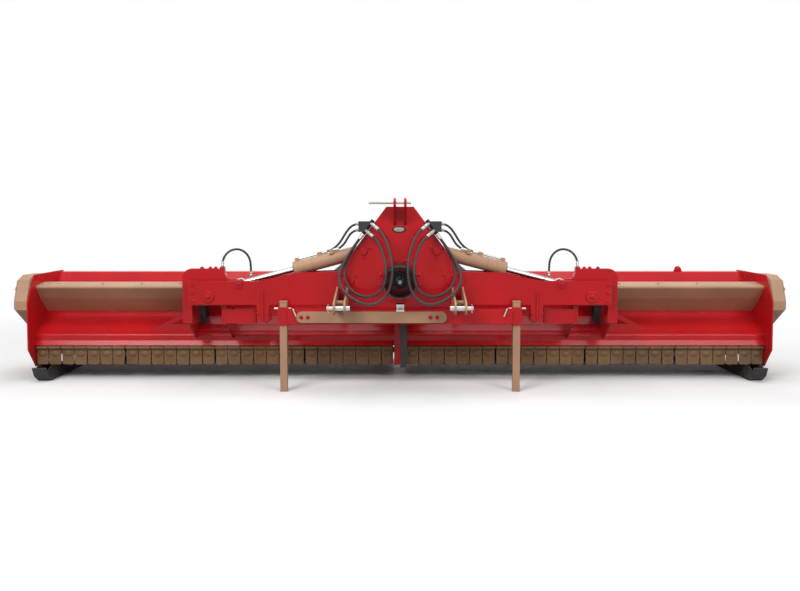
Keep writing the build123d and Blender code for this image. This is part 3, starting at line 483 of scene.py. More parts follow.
cast_round = 0.005
paints = (
    # slot, name, property of its colour, gloss, tone, dust, waves, coat, shine, colour of its painted edge
    # highlight
    ("red_paint", "Red enamel", "red", 0.22, 0.10, 0.04, 150.0, 0.12, 0.16, (0.62, 0.05, 0.05)),
    ("tan_paint", "Tan paint", "tan", 0.42, 0.12, 0.10, 170.0, 0.0, 0.25, (0.62, 0.42, 0.28)),
    # The flaps' tan paint, darkened as painted shade
    ("flap_paint", "Flap paint", "flap", 0.46, 0.30, 0.22, 90.0, 0.0, 0.25, (0.48, 0.32, 0.20)),
    ("black_paint", "Black paint", "black", 0.38, 0.25, 0.20, 150.0, 0.0, 0.25, (0.08, 0.08, 0.08)),
    ("gearbox_paint", "Gearbox paint", "gearbox", 0.40, 0.25, 0.15, 60.0, 0.0, 0.3, (0.12, 0.12, 0.12)),
)
metals = (
    # slot, name, colour, gloss, colour and amount of its stain, scale of its mottling, edge rounding
    ("zinc_steel", "Zinc plate", (0.54, 0.54, 0.52), 0.30, (0.46, 0.42, 0.30), 0.25, 160.0, 0.0015),
    ("chrome_rod", "Chromed rod", (0.66, 0.67, 0.69), 0.10, (0.5, 0.5, 0.5), 0.05, 240.0, 0.002),
    ("worn_steel", "Worn steel", (0.34, 0.33, 0.31), 0.42, (0.16, 0.075, 0.035), 0.45, 70.0, 0.003),
)
mouldings = (
    # slot, name, colour, gloss, scale and depth of its grain, dust
    ("hose_rubber", "Hose rubber", (0.014, 0.014, 0.015), 0.50, 900.0, 0.0003, 0.10),
    ("black_plastic", "Black plastic", (0.013, 0.013, 0.014), 0.42, 700.0, 0.0003, 0.12),
)
finishes = {}


class MULCHER_OT_finishes(bpy.types.Operator):
    """Makes the paints, metals and rubbers and puts them on the solids"""

    bl_idname = "mulcher.finishes"
    bl_label = "Finishes"

    def execute(self, context):
        colours = context.scene.mulcher_colours
        groups = {"edge": edge_group(), "film": film_group()}
        for slot, name, key, *values, edge_highlight_colour in paints:
            edge_round = cast_round if key == "gearbox" else context.scene.mulcher_sizes.edge_round
            finishes[slot] = paint(name, getattr(colours, key), groups, *values, edge_round, edge_highlight_colour)
        for slot, name, colour, *values in metals:
            finishes[slot] = bare_metal(name, colour, groups, *values)
        for slot, name, colour, *values in mouldings:
            finishes[slot] = moulded(name, colour, groups, *values)
        slots = {row["node"]: row["material_slot"] for row in frame["record"]["subparts"]}
        for name, solid in frame["nodes"].items():
            finish = finishes[slots[name]]
            if solid.material_slots:
                solid.material_slots[0].material = finish
            else:
                solid.data.materials.append(finish)
        return {"FINISHED"}


# Shapes

def turn_to(direction):
    """A rotation that takes Z to the direction."""
    return Vector(UPWARD).rotation_difference(Vector(direction)).to_matrix().to_4x4()


def place_on(at, direction):
    return Matrix.Translation(Vector(at)) @ turn_to(direction)


def side_point(point, side):
    """A point that is given for the left side, on the named side."""
    return Vector((point[0] * side, point[1], point[2]))


def route_points(route, side):
    return [Vector((x * side, hitch_y + y, z)) for x, y, z in route]


def finish_piece(name, bm, body, slot, replaced=(), angle=35.0, finish=None):
    """Makes an object of a bmesh, gives it its finish and lets it ride on a body."""
    mesh = bpy.data.meshes.new(name)
    bm.to_mesh(mesh)
    bm.free()
    for face in mesh.polygons:
        face.use_smooth = True
    mesh.set_sharp_from_angle(angle=math.radians(angle))
    mesh.materials.append(finishes[finish or slot])
    piece = bpy.data.objects.new(name, mesh)
    bpy.context.scene.collection.objects.link(piece)
    if replaced:
        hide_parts(*replaced)
    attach(piece, body)
    return piece


def added(bm, old):
    """The vertices of a bmesh that are not among the old ones."""
    return [v for v in bm.verts if v not in old]


def faces_of(verts):
    return list({face for v in verts for face in v.link_faces})


def lathe(bm, profile, matrix, steps=40):
    """Spins a profile of radius and height about Z, then puts it in place."""
    old = set(bm.verts)
    verts = [bm.verts.new((radius, 0, height)) for radius, height in profile]
    edges = [bm.edges.new(pair) for pair in zip(verts, verts[1:])]
    bmesh.ops.spin(
        bm, geom=verts + edges, cent=(0, 0, 0), axis=UPWARD, angle=2 * math.pi, steps=steps, use_merge=True
    )
    new = added(bm, old)
    on_axis = [v for v in new if math.hypot(v.co.x, v.co.y) < 1e-6]
    if on_axis:
        bmesh.ops.remove_doubles(bm, verts=on_axis, dist=1e-6)
        new = added(bm, old)
    bmesh.ops.recalc_face_normals(bm, faces=faces_of(new))
    bmesh.ops.transform(bm, matrix=matrix, verts=new)


def slab(bm, outline, thickness, matrix, soften=0.0, segments=2):
    """A plate of an XY outline and a thickness along Z, with softened edges."""
    old = set(bm.verts)
    face = bm.faces.new([bm.verts.new((x, y, 0)) for x, y in outline])
    made = bmesh.ops.extrude_face_region(bm, geom=[face])
    top = [v for v in made["geom"] if isinstance(v, bmesh.types.BMVert)]
    bmesh.ops.translate(bm, verts=top, vec=(0, 0, thickness))
    new = added(bm, old)
    bmesh.ops.recalc_face_normals(bm, faces=faces_of(new))
    if soften:
        edges = list({edge for v in new for edge in v.link_edges})
        bmesh.ops.bevel(
            bm, geom=edges, offset=soften, segments=segments, profile=0.5, affect="EDGES", material=-1
        )
        new = added(bm, old)
    bmesh.ops.transform(bm, matrix=matrix, verts=new)


def brick(bm, low, high, soften=0.0, matrix=None):
    """A box between two corners, with softened edges."""
    low, high = Vector(low), Vector(high)
    width, depth, height = high - low
    outline = [(0, 0), (width, 0), (width, depth), (0, depth)]
    shift = Matrix.Translation(low)
    slab(bm, outline, height, (matrix @ shift) if matrix else shift, soften)


def rounded(path, radius, steps=4):
    """The points of a flat path, with its inner corners turned into bends."""
    points = [Vector(path[0])]
    for before, corner, after in zip(path, path[1:], path[2:]):
        corner = Vector(corner)
        back = (Vector(before) - corner).normalized()
        on = (Vector(after) - corner).normalized()
        reach = radius * math.tan(back.angle(-on) / 2)
        for number in range(steps + 1):
            share = number / steps
            points.append(corner + back * reach * (1 - share) ** 2 + on * reach * share ** 2)
    points.append(Vector(path[-1]))
    return points


def strip_outline(points, thickness):
    """The closed outline of a strip along the points of a flat path."""
    upper, lower = [], []
    last = len(points) - 1
    for number, point in enumerate(points):
        way = points[min(number + 1, last)] - points[max(number - 1, 0)]
        across = Vector((-way.y, way.x)).normalized() * thickness / 2
        upper.append(point + across)
        lower.append(point - across)
    return upper + lower[::-1]


def headed_pin(radius, head, length):
    """The profile of a pin with a chamfered head at each end."""
    return [
        (0, 0), (head - pin_chamfer, 0), (head, pin_chamfer), (head, pin_head), (radius, pin_head),
        (radius, length - pin_head), (head, length - pin_head), (head, length - pin_chamfer),
        (head - pin_chamfer, length), (0, length),
    ]


def cone_radius(cone, distance):
    """The radius of a cone at a distance along it."""
    (first_r, first), (last_r, last) = cone
    return first_r + (last_r - first_r) * (distance - first) / (last - first)


def turned(name, profile, matrix, body, slot, replaced=(), steps=40):
    """A piece of one spun profile."""
    bm = bmesh.new()
    lathe(bm, profile, matrix, steps)
    return finish_piece(name, bm, body, slot, replaced)


def boxed(name, corners, body, slot, soften=0.0015):
    """A piece of boxes, each between two corners."""
    bm = bmesh.new()
    for low, high in corners:
        brick(bm, low, high, soften)
    return finish_piece(name, bm, body, slot)


# Bolts

def bolt_mesh():
    """A hexagon head on a washer, with the end of its thread, of unit size over the corners."""
    washer = [(0, 0), (1.30, 0), (1.34, 0.05), (1.34, 0.14), (1.30, 0.18), (0, 0.18)]
    thread = [(0, 0.80), (0.55, 0.80), (0.55, 1.02), (0.48, 1.10), (0, 1.10)]
    height = 0.66
    bm = bmesh.new()
    lathe(bm, washer, Matrix.Identity(4), steps=20)
    head = bmesh.ops.create_cone(
        bm, cap_ends=True, segments=6, radius1=1.0, radius2=1.0, depth=height,
        matrix=Matrix.Translation((0, 0, washer[-1][1] + height / 2)),
    )
    top = {edge for v in head["verts"] for edge in v.link_edges if all(u.co.z > height for u in edge.verts)}
    bmesh.ops.bevel(bm, geom=list(top), offset=0.10, segments=1, profile=0.5, affect="EDGES", material=-1)
    lathe(bm, thread, Matrix.Identity(4), steps=14)
    mesh = bpy.data.meshes.new("bolt pattern")
    bm.to_mesh(mesh)
    bm.free()
    return mesh


def stamp(bm, pattern, matrix):
    """Copies a pattern mesh into a bmesh."""
    before = len(bm.verts)
    bm.from_mesh(pattern)
    bm.verts.ensure_lookup_table()
    bmesh.ops.transform(bm, matrix=matrix, verts=bm.verts[before:])


def bolt_set(name, body, places, slot="zinc_steel"):
    """One piece of many bolts: each place is a point, the way that the head points, and its size."""
    pattern = bolt_mesh()
    bm = bmesh.new()
    for number, (at, way, size) in enumerate(places):
        spin = Matrix.Rotation(0.37 * number, 4, "Z")
        stamp(bm, pattern, place_on(at, way) @ spin @ Matrix.Scale(size, 4))
    bpy.data.meshes.remove(pattern)
    return finish_piece(name, bm, body, slot, angle=30.0)


def bolt_circle(center, way, radius, count, size, start):
    """Places of bolts on a circle about an axis."""
    turn = place_on(center, way)
    places = []
    for number in range(count):
        angle = start + 2 * math.pi * number / count
        places.append((turn @ Vector((radius * math.cos(angle), radius * math.sin(angle), 0)), way, size))
    return places


# Hoses

def hose_line(name, points, radius):
    """A smooth line through the route's control points."""
    curve = bpy.data.curves.new(name, "CURVE")
    curve.dimensions = "3D"
    curve.bevel_depth = radius
    curve.bevel_resolution = 5
    curve.resolution_u = 10
    curve.use_fill_caps = True
    spline = curve.splines.new("NURBS")
    spline.points.add(len(points) - 1)
    for knot, point in zip(spline.points, points):
        knot.co = (*point, 1.0)
    spline.order_u = 3
    spline.use_endpoint_u = True
    line = bpy.data.objects.new(name, curve)
    bpy.context.scene.collection.objects.link(line)
    return line


def line_points(line):
    """The points along a hose line, read from its spline with no thickness."""
    radius = line.data.bevel_depth
    line.data.bevel_depth = 0
    mesh = bpy.data.meshes.new_from_object(line)
    points = [v.co.copy() for v in mesh.vertices]
    bpy.data.meshes.remove(mesh)
    line.data.bevel_depth = radius
    return points


ferrule_profile = (
    # radius as a share of the hose's, distance along
    (0, 0.0), (1.25, 0.0), (1.32, 0.001), (1.32, 0.010), (1.1, 0.011), (1.1, 0.013), (1.38, 0.0135),
    (1.38, 0.019), (1.24, 0.021), (1.24, 0.025), (1.38, 0.027), (1.38, 0.032), (1.24, 0.034), (1.24, 0.038),
    (1.34, 0.040), (1.3, 0.044), (0.98, 0.045),
)


def ferrule(bm, at, way, radius):
    """A crimped sleeve with a swivel nut, whose mouth is at the seat and which points along the hose."""
    lathe(bm, [(radius * share, along) for share, along in ferrule_profile], place_on(at, way), steps=28)


class MULCHER_OT_hoses(bpy.types.Operator):
    """Lays the hoses to the tractor, the cylinders and the wings, with their fittings"""

    bl_idname = "mulcher.hoses"
    bl_label = "Hoses"

    def execute(self, context):
        sizes = context.scene.mulcher_sizes
        for side_name, side in SIDES:
            self.tractor_hoses(side_name, side, sizes.hose)
            self.moving_hoses(side_name, side, sizes.feed_hose)
        return {"FINISHED"}

    def tractor_hoses(self, side_name, side, radius):
        """Two hoses to the tractor, parked in a loop on the headstock, with their fittings in one piece."""
        table = (
            # name, route, length in metres
            ("tractor_hose_outer_", outer_hose_route, 1.432),
            ("tractor_hose_inner_", inner_hose_route, 1.235),
        )
        fittings = bmesh.new()
        for name, route, length in table:
            points = route_points(route, side)
            line = hose_line(name + side_name + "_line", points, radius)
            line.data.materials.append(finishes["hose_rubber"])
            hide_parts(name + side_name)
            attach(line, "headstock")
            ferrule(fittings, points[0], points[1] - points[0], radius)
            ferrule(fittings, points[-1], points[-2] - points[-1], radius)
        piece = finish_piece("tractor_hose_fittings_" + side_name, fittings, "headstock", "zinc_steel")

    def moving_hoses(self, side_name, side, radius):
        """Two hoses to the cylinder and one to the wing, each with a fitting on the body at either end."""
        table = (
            # name, route, length, bodies at its start and end, way over which it passes between them
            ("feed_hose_far_", far_feed_route, 0.410, "headstock", "barrel_", (-0.051, 0.199, -0.051)),
            ("feed_hose_near_", near_feed_route, 0.289, "headstock", "barrel_", (-0.050, 0.149, -0.050)),
            ("wing_hose_", wing_hose_route, 0.452, "arm_", "wing_", (-0.190, -0.097, 0.0)),
        )
        for name, route, length, first, second, way_over in table:
            points = route_points(route, side)
            line = hose_line(name + side_name + "_line", points, radius)
            path = line_points(line)
            mesh = bpy.data.meshes.new_from_object(line)
            bpy.data.objects.remove(line)
            tube = bpy.data.objects.new(name + side_name + "_tube", mesh)
            bpy.context.scene.collection.objects.link(tube)
            mesh.materials.clear()
            mesh.materials.append(finishes["hose_rubber"])
            for face in mesh.polygons:
                face.use_smooth = True
            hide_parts(name + side_name)
            start_body = first if first == "headstock" else first + side_name
            end_body = second + side_name
            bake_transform(tube)
            for label, body, at, way in (
                ("_start", start_body, points[0], points[1] - points[0]),
                ("_end", end_body, points[-1], points[-2] - points[-1]),
            ):
                bm = bmesh.new()
                ferrule(bm, at, way, radius)
                finish_piece(name + side_name + label + "_fitting", bm, body, "zinc_steel")


class MULCHER_OT_headstock(bpy.types.Operator):
    """Adds the headstock's bolts, painted pins, bare badge plate, rest tab and hitch pins' clips"""

    bl_idname = "mulcher.headstock"
    bl_label = "Headstock"

    def execute(self, context):
        sizes = context.scene.mulcher_sizes
        ring = (0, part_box("pto_ring")[0].y, drive_z)
        places = bolt_circle(ring, FORWARD, sizes.ring_bolt_circle, sizes.ring_bolts, size=0.0105, start=0.26)
        bar_low, bar_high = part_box("transport_tie_bar")
        for x in (-0.698, -0.652, 0.215, 0.262):
            places.append(((x, bar_low.y, (bar_low.z + bar_high.z) / 2), FORWARD, 0.011))
        for _, side in SIDES:
            for x, z, radius in ((base_pin.x, base_pin.z, 0.046), (fold_x, drive_z, 0.062)):
                for y, way in ((front_plate_y, FORWARD), (frame_rear_y, BACKWARD)):
                    center = side_point((x, y, z), side)
                    places += bolt_circle(center, way, radius, count=3, size=0.0085, start=0.5)
        bolt_set("headstock_bolts", "headstock", places, "red_paint")
        self.pins()
        self.badge()
        self.tab()
        self.clips()
        return {"FINISHED"}

    def pins(self):
        """The fold pins and the cylinders' base pins, painted with the frame."""
        bm = bmesh.new()
        length = frame_rear_y - front_plate_y + 2 * pin_head
        for _, side in SIDES:
            for x, z, size in ((fold_x, drive_z, fold_pin_size), (base_pin.x, base_pin.z, base_pin_size)):
                at = side_point((x, front_plate_y - pin_head, z), side)
                lathe(bm, headed_pin(*size, length), place_on(at, BACKWARD))
        finish_piece("painted_frame_pins", bm, "headstock", "red_paint", ["frame_pins"])

    def badge(self):
        """A bare oval plate with a raised rim, turned with a radius of one and squeezed."""
        place = place_on((-0.007, front_plate_y, 1.157), FORWARD) @ Matrix.Diagonal((0.050, 0.022, 1, 1))
        table = (
            # name, slot, profile
            ("badge_rim", "black_paint", [
                (0.76, 0.001), (0.76, 0.004), (0.80, 0.006), (0.98, 0.006), (1.02, 0.004), (1.02, 0),
            ]),
            ("badge_face", "worn_steel", [(0, 0.0045), (0.5, 0.004), (0.78, 0.003), (0.78, 0)]),
        )
        for name, slot, profile in table:
            turned(name, profile, place, "headstock", slot, steps=48)

    def tab(self):
        """A bent tab over the front of the cross tube."""
        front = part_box("cross_tube")[0].y
        left = -0.026
        right = 0.030
        top = 0.588
        corners = (
            ((left, front - 0.006, 0.562), (right, front, top + 0.004)),
            ((left, front - 0.006, top), (right, front + 0.055, top + 0.005)),
            ((left, front + 0.045, top + 0.004), (right, front + 0.051, top + 0.036)),
        )
        boxed("rest_tab", corners, "headstock", "zinc_steel")

    def clips(self):
        """Spring clips through the ends of the hitch pins."""
        low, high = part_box("lower_link_pins")
        middle = (low + high) / 2
        inset = 0.010
        wire_r = 0.002
        hoop_r = 0.0175
        hoop = []
        for number in range(9):
            angle = number * math.pi / 4
            hoop.append((hoop_r + wire_r * math.cos(angle), wire_r * math.sin(angle)))
        bm = bmesh.new()
        for x in (low.x + inset, high.x - inset):
            at = Matrix.Translation((x, middle.y, middle.z))
            lathe(bm, [(0, -0.03), (0.0035, -0.03), (0.0035, 0.026), (0, 0.026)], at, steps=12)
            ring = at @ Matrix.Translation((0, 0, 0.004)) @ Matrix.Rotation(math.pi / 2, 4, "Y")
            lathe(bm, hoop, ring, steps=32)
        finish_piece("hitch_pin_clips", bm, "headstock", "zinc_steel")


class MULCHER_OT_drive(bpy.types.Operator):
    """Makes the splined stub, the ribbed guards, the drive shafts and the housings' covers"""

    bl_idname = "mulcher.drive"
    bl_label = "Drive"

    def execute(self, context):
        self.stub()
        self.shield()
        for side_name, side in SIDES:
            self.shaft(side_name, side)
            self.wing_housing(side_name, side)
        self.center_housing()
        return {"FINISHED"}

    def stub(self):
        """Six splines on the free end, a locking groove, and the journal behind them."""
        low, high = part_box("pto_stub_shaft")
        collar_y = front_plate_y - stub_collar
        count = spline_count * spline_steps
        section = []
        for number in range(count):
            angle = 2 * math.pi * number / count
            radius = spline_crest if number % spline_steps < spline_steps / 2 else spline_root
            section.append((radius * math.cos(angle), radius * math.sin(angle)))
        behind = groove_at + groove_width
        length = high.y - collar_y
        base = place_on((0, low.y + stub_tip, drive_z), BACKWARD)
        bm = bmesh.new()
        slab(bm, section, groove_at, base)
        lathe(
            bm, [(0, 0), (spline_root, 0), (spline_root, 0.012), (0, 0.012)],
            base @ Matrix.Translation((0, 0, groove_at)),
        )
        slab(bm, section, collar_y - low.y - stub_tip - behind, base @ Matrix.Translation((0, 0, behind)))
        lathe(bm, [(0, -stub_tip), (0.0125, -stub_tip), (spline_root, 0), (0, 0.001)], base)
        lathe(
            bm, [(0, 0), (0.027, 0), (stub_journal, 0.003), (stub_journal, length), (0, length)],
            place_on((0, collar_y, drive_z), BACKWARD),
        )
        finish_piece("splined_stub", bm, "pto", "worn_steel", ["pto_stub_shaft"], angle=25.0)

    def shield(self):
        """A moulded guard with ribs and a rolled mouth."""
        low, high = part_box("pto_shield")
        length = high.y - low.y
        profile = [(guard_r, 0.0), (guard_r, 0.004)]
        for number in range(guard_ribs):
            s = 0.030 + 0.045 * number
            r = guard_r - 0.006 * s / length
            profile += [(r, s), (r + 0.003, s + 0.004), (r + 0.003, s + 0.010), (r, s + 0.014)]
        mouth = [
            (0.1092, -0.016), (0.1130, -0.011), (0.1138, -0.005), (0.1120, 0), (0.1060, 0), (0.1045, -0.004),
            (0.1040, -0.012),
        ]
        profile += [(r, length + s) for r, s in mouth]
        profile += [(0.110, 0.0), profile[0]]
        place = place_on((0, high.y, drive_z), FORWARD)
        turned("drive_guard", profile, place, "headstock", "black_plastic", ["pto_shield"], steps=64)

    def shaft(self, side_name, side):
        """The guard tube with its two ribbed cones, and the steel yokes at its ends."""
        start = side_point((fold_x, drive_y, drive_z), side)
        end = side_point((float_x, drive_y, float_z), side)
        length = (end - start).length
        place = place_on(start, end - start)
        split = length * guard_split
        near = [(0.030, 0.060), inner_cone[0], (0.0965, 0.074)]
        for number in range(inner_ribs):
            s = 0.078 + 0.0115 * number
            r = cone_radius(inner_cone, s)
            near += [(r, s), (r + 0.002, s + 0.004), (r - 0.003, s + 0.0075)]
        near += [inner_cone[1], (0.042, 0.154), (0.042, split), (0.046, split + 0.004)]
        far = [(0.046, -0.160), outer_cone[0]]
        for number in range(outer_ribs):
            s = 0.0182 * number - 0.140
            r = cone_radius(outer_cone, s)
            far += [(r, s), (r + 0.0022, s + 0.006), (r - 0.002, s + 0.012)]
        tip = outer_cone[1][1]
        far += [(0.1125, tip - 0.006), (0.1125, tip), (0.107, tip), (0.050, -0.120), (0.030, -0.118)]
        turned(
            "shaft_guard_" + side_name, near + [(r, length + s) for r, s in far], place, "arm_" + side_name,
            "black_plastic", ["drive_shaft_" + side_name], steps=48,
        )
        eye = [
            (0.0122, -0.007), (0.020, -0.007), (0.022, -0.005), (0.022, 0.005), (0.020, 0.007),
            (0.0122, 0.007), (0.0122, -0.007),
        ]
        hub = [(0, 0.054), (0.036, 0.054), (0.036, 0.075), (0, 0.075)]
        across = Vector(BACKWARD)
        yokes = bmesh.new()
        for s, toward in ((0.0, 1), (length, -1)):
            joint = place @ Vector((0, 0, s))
            along = (end - start).normalized() * toward
            turn = Matrix((along, along.cross(across), across)).transposed().to_4x4()
            for y in (-yoke_half, yoke_half):
                at = joint + across * y
                lathe(yokes, eye, place_on(at, across), steps=24)
                cheek = Matrix.Translation(at) @ turn
                brick(yokes, (0.019, -0.017, -0.007), (0.060, 0.017, 0.007), soften=0.002, matrix=cheek)
            lathe(yokes, hub, place_on(joint, along), steps=28)
        finish_piece("shaft_yokes_" + side_name, yokes, "arm_" + side_name, "worn_steel")

    def covers(self, bm, middle, half, cover, thickness, soften):
        """A cover on the top of a housing and one on its back."""
        table = (
            # lower corner, upper corner
            ((-cover.x, -cover.y, half.z - cover_seat), (cover.x, cover.y, half.z + thickness)),
            ((-cover.x, half.y - cover_seat, -cover.z), (cover.x, half.y + thickness, cover.z)),
        )
        for low, high in table:
            brick(bm, low, high, soften, Matrix.Translation(middle))

    def cover_bolts(self, middle, half, reach, thickness, size):
        """Places of three pairs of bolts on each of the two covers."""
        places = []
        for x in (-reach.x, 0, reach.x):
            for y in (-reach.y, reach.y):
                places.append((middle + Vector((x, y, half.z + thickness)), UPWARD, size))
            for z in (-reach.z, reach.z):
                places.append((middle + Vector((x, half.y + thickness, z)), BACKWARD, size))
        return places

    def center_housing(self):
        """Covers, ribs, flanges, bolts and filler plug on the middle gearbox."""
        middle = Vector((0, drive_y, drive_z))
        low = middle - center_half
        high = middle + center_half
        flange = [
            (0.076, 0), (0.100, 0), (0.102, 0.003), (0.102, 0.014), (0.098, center_flange_t),
            (0.076, center_flange_t),
        ]
        bm = bmesh.new()
        self.covers(bm, middle, center_half, center_cover, center_cover_t, soften=0.004)
        for x in (-0.095, -0.048, 0.0, 0.048, 0.095):
            foot = (x - 0.005, low.y + 0.02, low.z - 0.010)
            brick(bm, foot, (x + 0.005, high.y - 0.02, low.z + 0.006), soften=0.002)
        places = self.cover_bolts(middle, center_half, center_reach, center_cover_t, size=0.0075)
        for _, side in SIDES:
            outward = Vector((-side, 0, 0))
            face = side_point((-center_half.x, drive_y, drive_z), side)
            lathe(bm, flange, place_on(face, outward))
            rim = face + outward * center_flange_t
            places += bolt_circle(rim, outward, radius=0.089, count=8, size=0.0075, start=0.2)
        finish_piece("gearbox_covers", bm, "headstock", "gearbox_paint")
        places.append(((0.03, drive_y, high.z + center_cover_t), UPWARD, 0.016))
        drive_flange = (0, frame_rear_y + 0.020, drive_z)
        places += bolt_circle(drive_flange, BACKWARD, radius=0.088, count=8, size=0.010, start=0.39)
        bolt_set("gearbox_bolts", "headstock", places)

    def wing_housing(self, side_name, side):
        """Covers, flange, bolts and filler plug on a wing's gearbox."""
        wing = "wing_" + side_name
        middle = side_point((wing_box_x, drive_y, float_z), side)
        inward = Vector((side, 0, 0))
        face = middle + inward * wing_half.x
        flange = [
            (0.031, 0), (0.085, 0), (0.087, 0.003), (0.087, wing_flange_t), (0.070, 0.016), (0.060, 0.030),
            (0.031, 0.030),
        ]
        bm = bmesh.new()
        self.covers(bm, middle, wing_half, wing_cover, wing_cover_t, soften=0.003)
        lathe(bm, flange, place_on(face, inward))
        finish_piece("wing_gearbox_covers_" + side_name, bm, wing, "gearbox_paint")
        places = self.cover_bolts(middle, wing_half, side_point(wing_reach, side), wing_cover_t, size=0.007)
        rim = face + inward * wing_flange_t
        places += bolt_circle(rim, inward, radius=0.076, count=8, size=0.007, start=0.3)
        plug = middle + side_point((-0.020, 0, wing_half.z + wing_cover_t), side)
        places.append((plug, UPWARD, 0.014))
        bolt_set("wing_gearbox_bolts_" + side_name, wing, places)


class MULCHER_OT_arms(bpy.types.Operator):
    """Adds the arms' bolts and painted float pins, and the cylinders' glands, wipers, pipes and clips"""

    bl_idname = "mulcher.arms"
    bl_label = "Arms and cylinders"

    def execute(self, context):
        for side_name, side in SIDES:
            self.arm(side_name, side)
            self.cylinder(side_name, side)
        return {"FINISHED"}

    def arm(self, side_name, side):
        """Bolts of the float stop and the pins, and the float pin, painted with the arm."""
        arm = "arm_" + side_name
        places = []
        for y, way in ((arm_front_y, FORWARD), (arm_rear_y, BACKWARD)):
            for z in (0.640, 0.700, 0.758):
                places.append((side_point((-1.500, y, z), side), way, 0.009))
            head_y = y + way[1] * pin_head
            places.append((side_point((float_x, head_y, float_z), side), way, 0.014))
            places.append((side_point((rod_eye.x, head_y, rod_eye.z), side), way, 0.011))
        for x in (-0.952, -1.028):
            places.append((side_point((x, arm_front_y, 0.548), side), FORWARD, 0.008))
        bolt_set("arm_bolts_" + side_name, arm, places, "red_paint")
        pin = headed_pin(*fold_pin_size, arm_rear_y - arm_front_y + 2 * pin_head)
        place = place_on(side_point((float_x, arm_front_y - pin_head, float_z), side), BACKWARD)
        turned("painted_float_pin_" + side_name, pin, place, arm, "red_paint", ["float_pin_" + side_name])

    def cylinder(self, side_name, side):
        """The gland nut and foot ring of a barrel, its rod's wiper, and its feed pipe with two clips."""
        barrel = "barrel_" + side_name
        start = side_point(base_pin, side)
        way = side_point(cylinder_way, side)
        place = place_on(start, way)
        gland = [
            (0.0495, 0.488), (0.0535, 0.489), (0.0545, 0.492), (0.0545, 0.516), (0.0525, 0.5265),
            (0.038, 0.529), (0.0215, 0.529), (0.0215, 0.520), (0.0495, 0.510), (0.0495, 0.488),
        ]
        foot_ring = [(0.049, 0.060), (0.0525, 0.063), (0.0525, 0.069), (0.049, 0.073)]
        wiper = [
            (0.0205, 0.527), (0.031, 0.527), (0.030, 0.532), (0.0215, 0.536), (0.0203, 0.536),
            (0.0205, 0.527),
        ]
        clip = [(0.0503, 0), (0.0516, 0.001), (0.0516, 0.013), (0.0503, 0.014), (0.0503, 0)]
        pipe = [(0.0, 0.338), (0.0083, 0.338), (0.0083, 0.474), (0.0, 0.474)]
        nut = bmesh.new()
        lathe(nut, gland, place, steps=48)
        lathe(nut, foot_ring, place, steps=48)
        finish_piece("gland_nut_" + side_name, nut, barrel, "tan_paint")
        turned("rod_wiper_" + side_name, wiper, place, barrel, "hose_rubber")
        clips = bmesh.new()
        for s in (0.372, 0.446):
            lathe(clips, clip, place @ Matrix.Translation((0, 0, s)), steps=48)
        finish_piece("pipe_clips_" + side_name, clips, barrel, "tan_paint")
        pipe_place = place_on(start + side_point(cylinder_up, side) * 0.062, way)
        turned("feed_pipe_" + side_name, pipe, pipe_place, barrel, "zinc_steel", steps=20)


class MULCHER_OT_flaps(bpy.types.Operator):
    """Hangs the rows of front flaps on their rods"""

    bl_idname = "mulcher.flaps"
    bl_label = "Front flaps"

    def execute(self, context):
        sizes = context.scene.mulcher_sizes
        for side_name, side in SIDES:
            low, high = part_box("front_flaps_" + side_name)
            chance = random.Random(7 if side > 0 else 11)
            pitch = (high.x - low.x) / sizes.flaps
            rod_z = high.z - flap_rod_drop
            rod_y = (low.y + high.y) / 2
            bm = bmesh.new()
            rod = [(0, 0), (flap_rod_r, 0), (flap_rod_r, high.x - low.x), (0, high.x - low.x)]
            lathe(bm, rod, place_on((low.x, rod_y, rod_z), (1, 0, 0)), steps=14)
            for number in range(sizes.flaps):
                left = low.x + number * pitch + flap_space / 2
                right = low.x + (number + 1) * pitch - flap_space / 2
                if number % sizes.flap_group == 0:
                    left += hanger_space / 2
                if (number + 1) % sizes.flap_group == 0:
                    right -= hanger_space / 2
                lean = chance.uniform(-sizes.flap_swing, sizes.flap_swing)
                place = Matrix.Translation(((left + right) / 2, rod_y, rod_z)) @ Matrix.Rotation(lean, 4, "X")
                self.flap(bm, place, right - left, rod_z - low.z)
            # The flaps are tan paint, given its darker copy as painted shade
            finish_piece(
                "flap_row_" + side_name, bm, "wing_" + side_name, "tan_paint", ["front_flaps_" + side_name],
                finish="flap_paint",
            )
        return {"FINISHED"}

    def flap(self, bm, place, width, drop):
        """A forged flap: an eye round the rod, a plate with cut corners and a pressed dome near its top."""
        half = width / 2
        foot = 0.001 - drop
        eye = [
            (0.0085, -half), (0.0135, -half), (0.0150, -half + 0.0015), (0.0150, half - 0.0015),
            (0.0135, half), (0.0085, half), (0.0085, -half),
        ]
        plate = [
            (-half, -0.006), (-half, flap_cut - drop), (flap_cut - half, foot), (half - flap_cut, foot),
            (half, flap_cut - drop), (half, -0.006),
        ]
        dome = [(0, 0.009), (0.010, 0.0085), (0.019, 0.007), (0.026, 0.0045), (0.031, 0.0015), (0.033, 0)]
        lathe(bm, eye, place @ Matrix.Rotation(math.pi / 2, 4, "Y"), steps=20)
        upright = Matrix(((1, 0, 0, 0), (0, 0, 1, 0), (0, 1, 0, 0), (0, 0, 0, 1)))
        behind = place @ Matrix.Translation((0, 0.004, 0)) @ upright
        slab(bm, plate, flap_t, behind, soften=0.0015, segments=1)
        front = place @ Matrix.Translation((0, 0.0042, -0.046)) @ turn_to(FORWARD)
        lathe(bm, dome, front @ Matrix.Diagonal((1.0, 0.75, 1.0, 1.0)), steps=28)


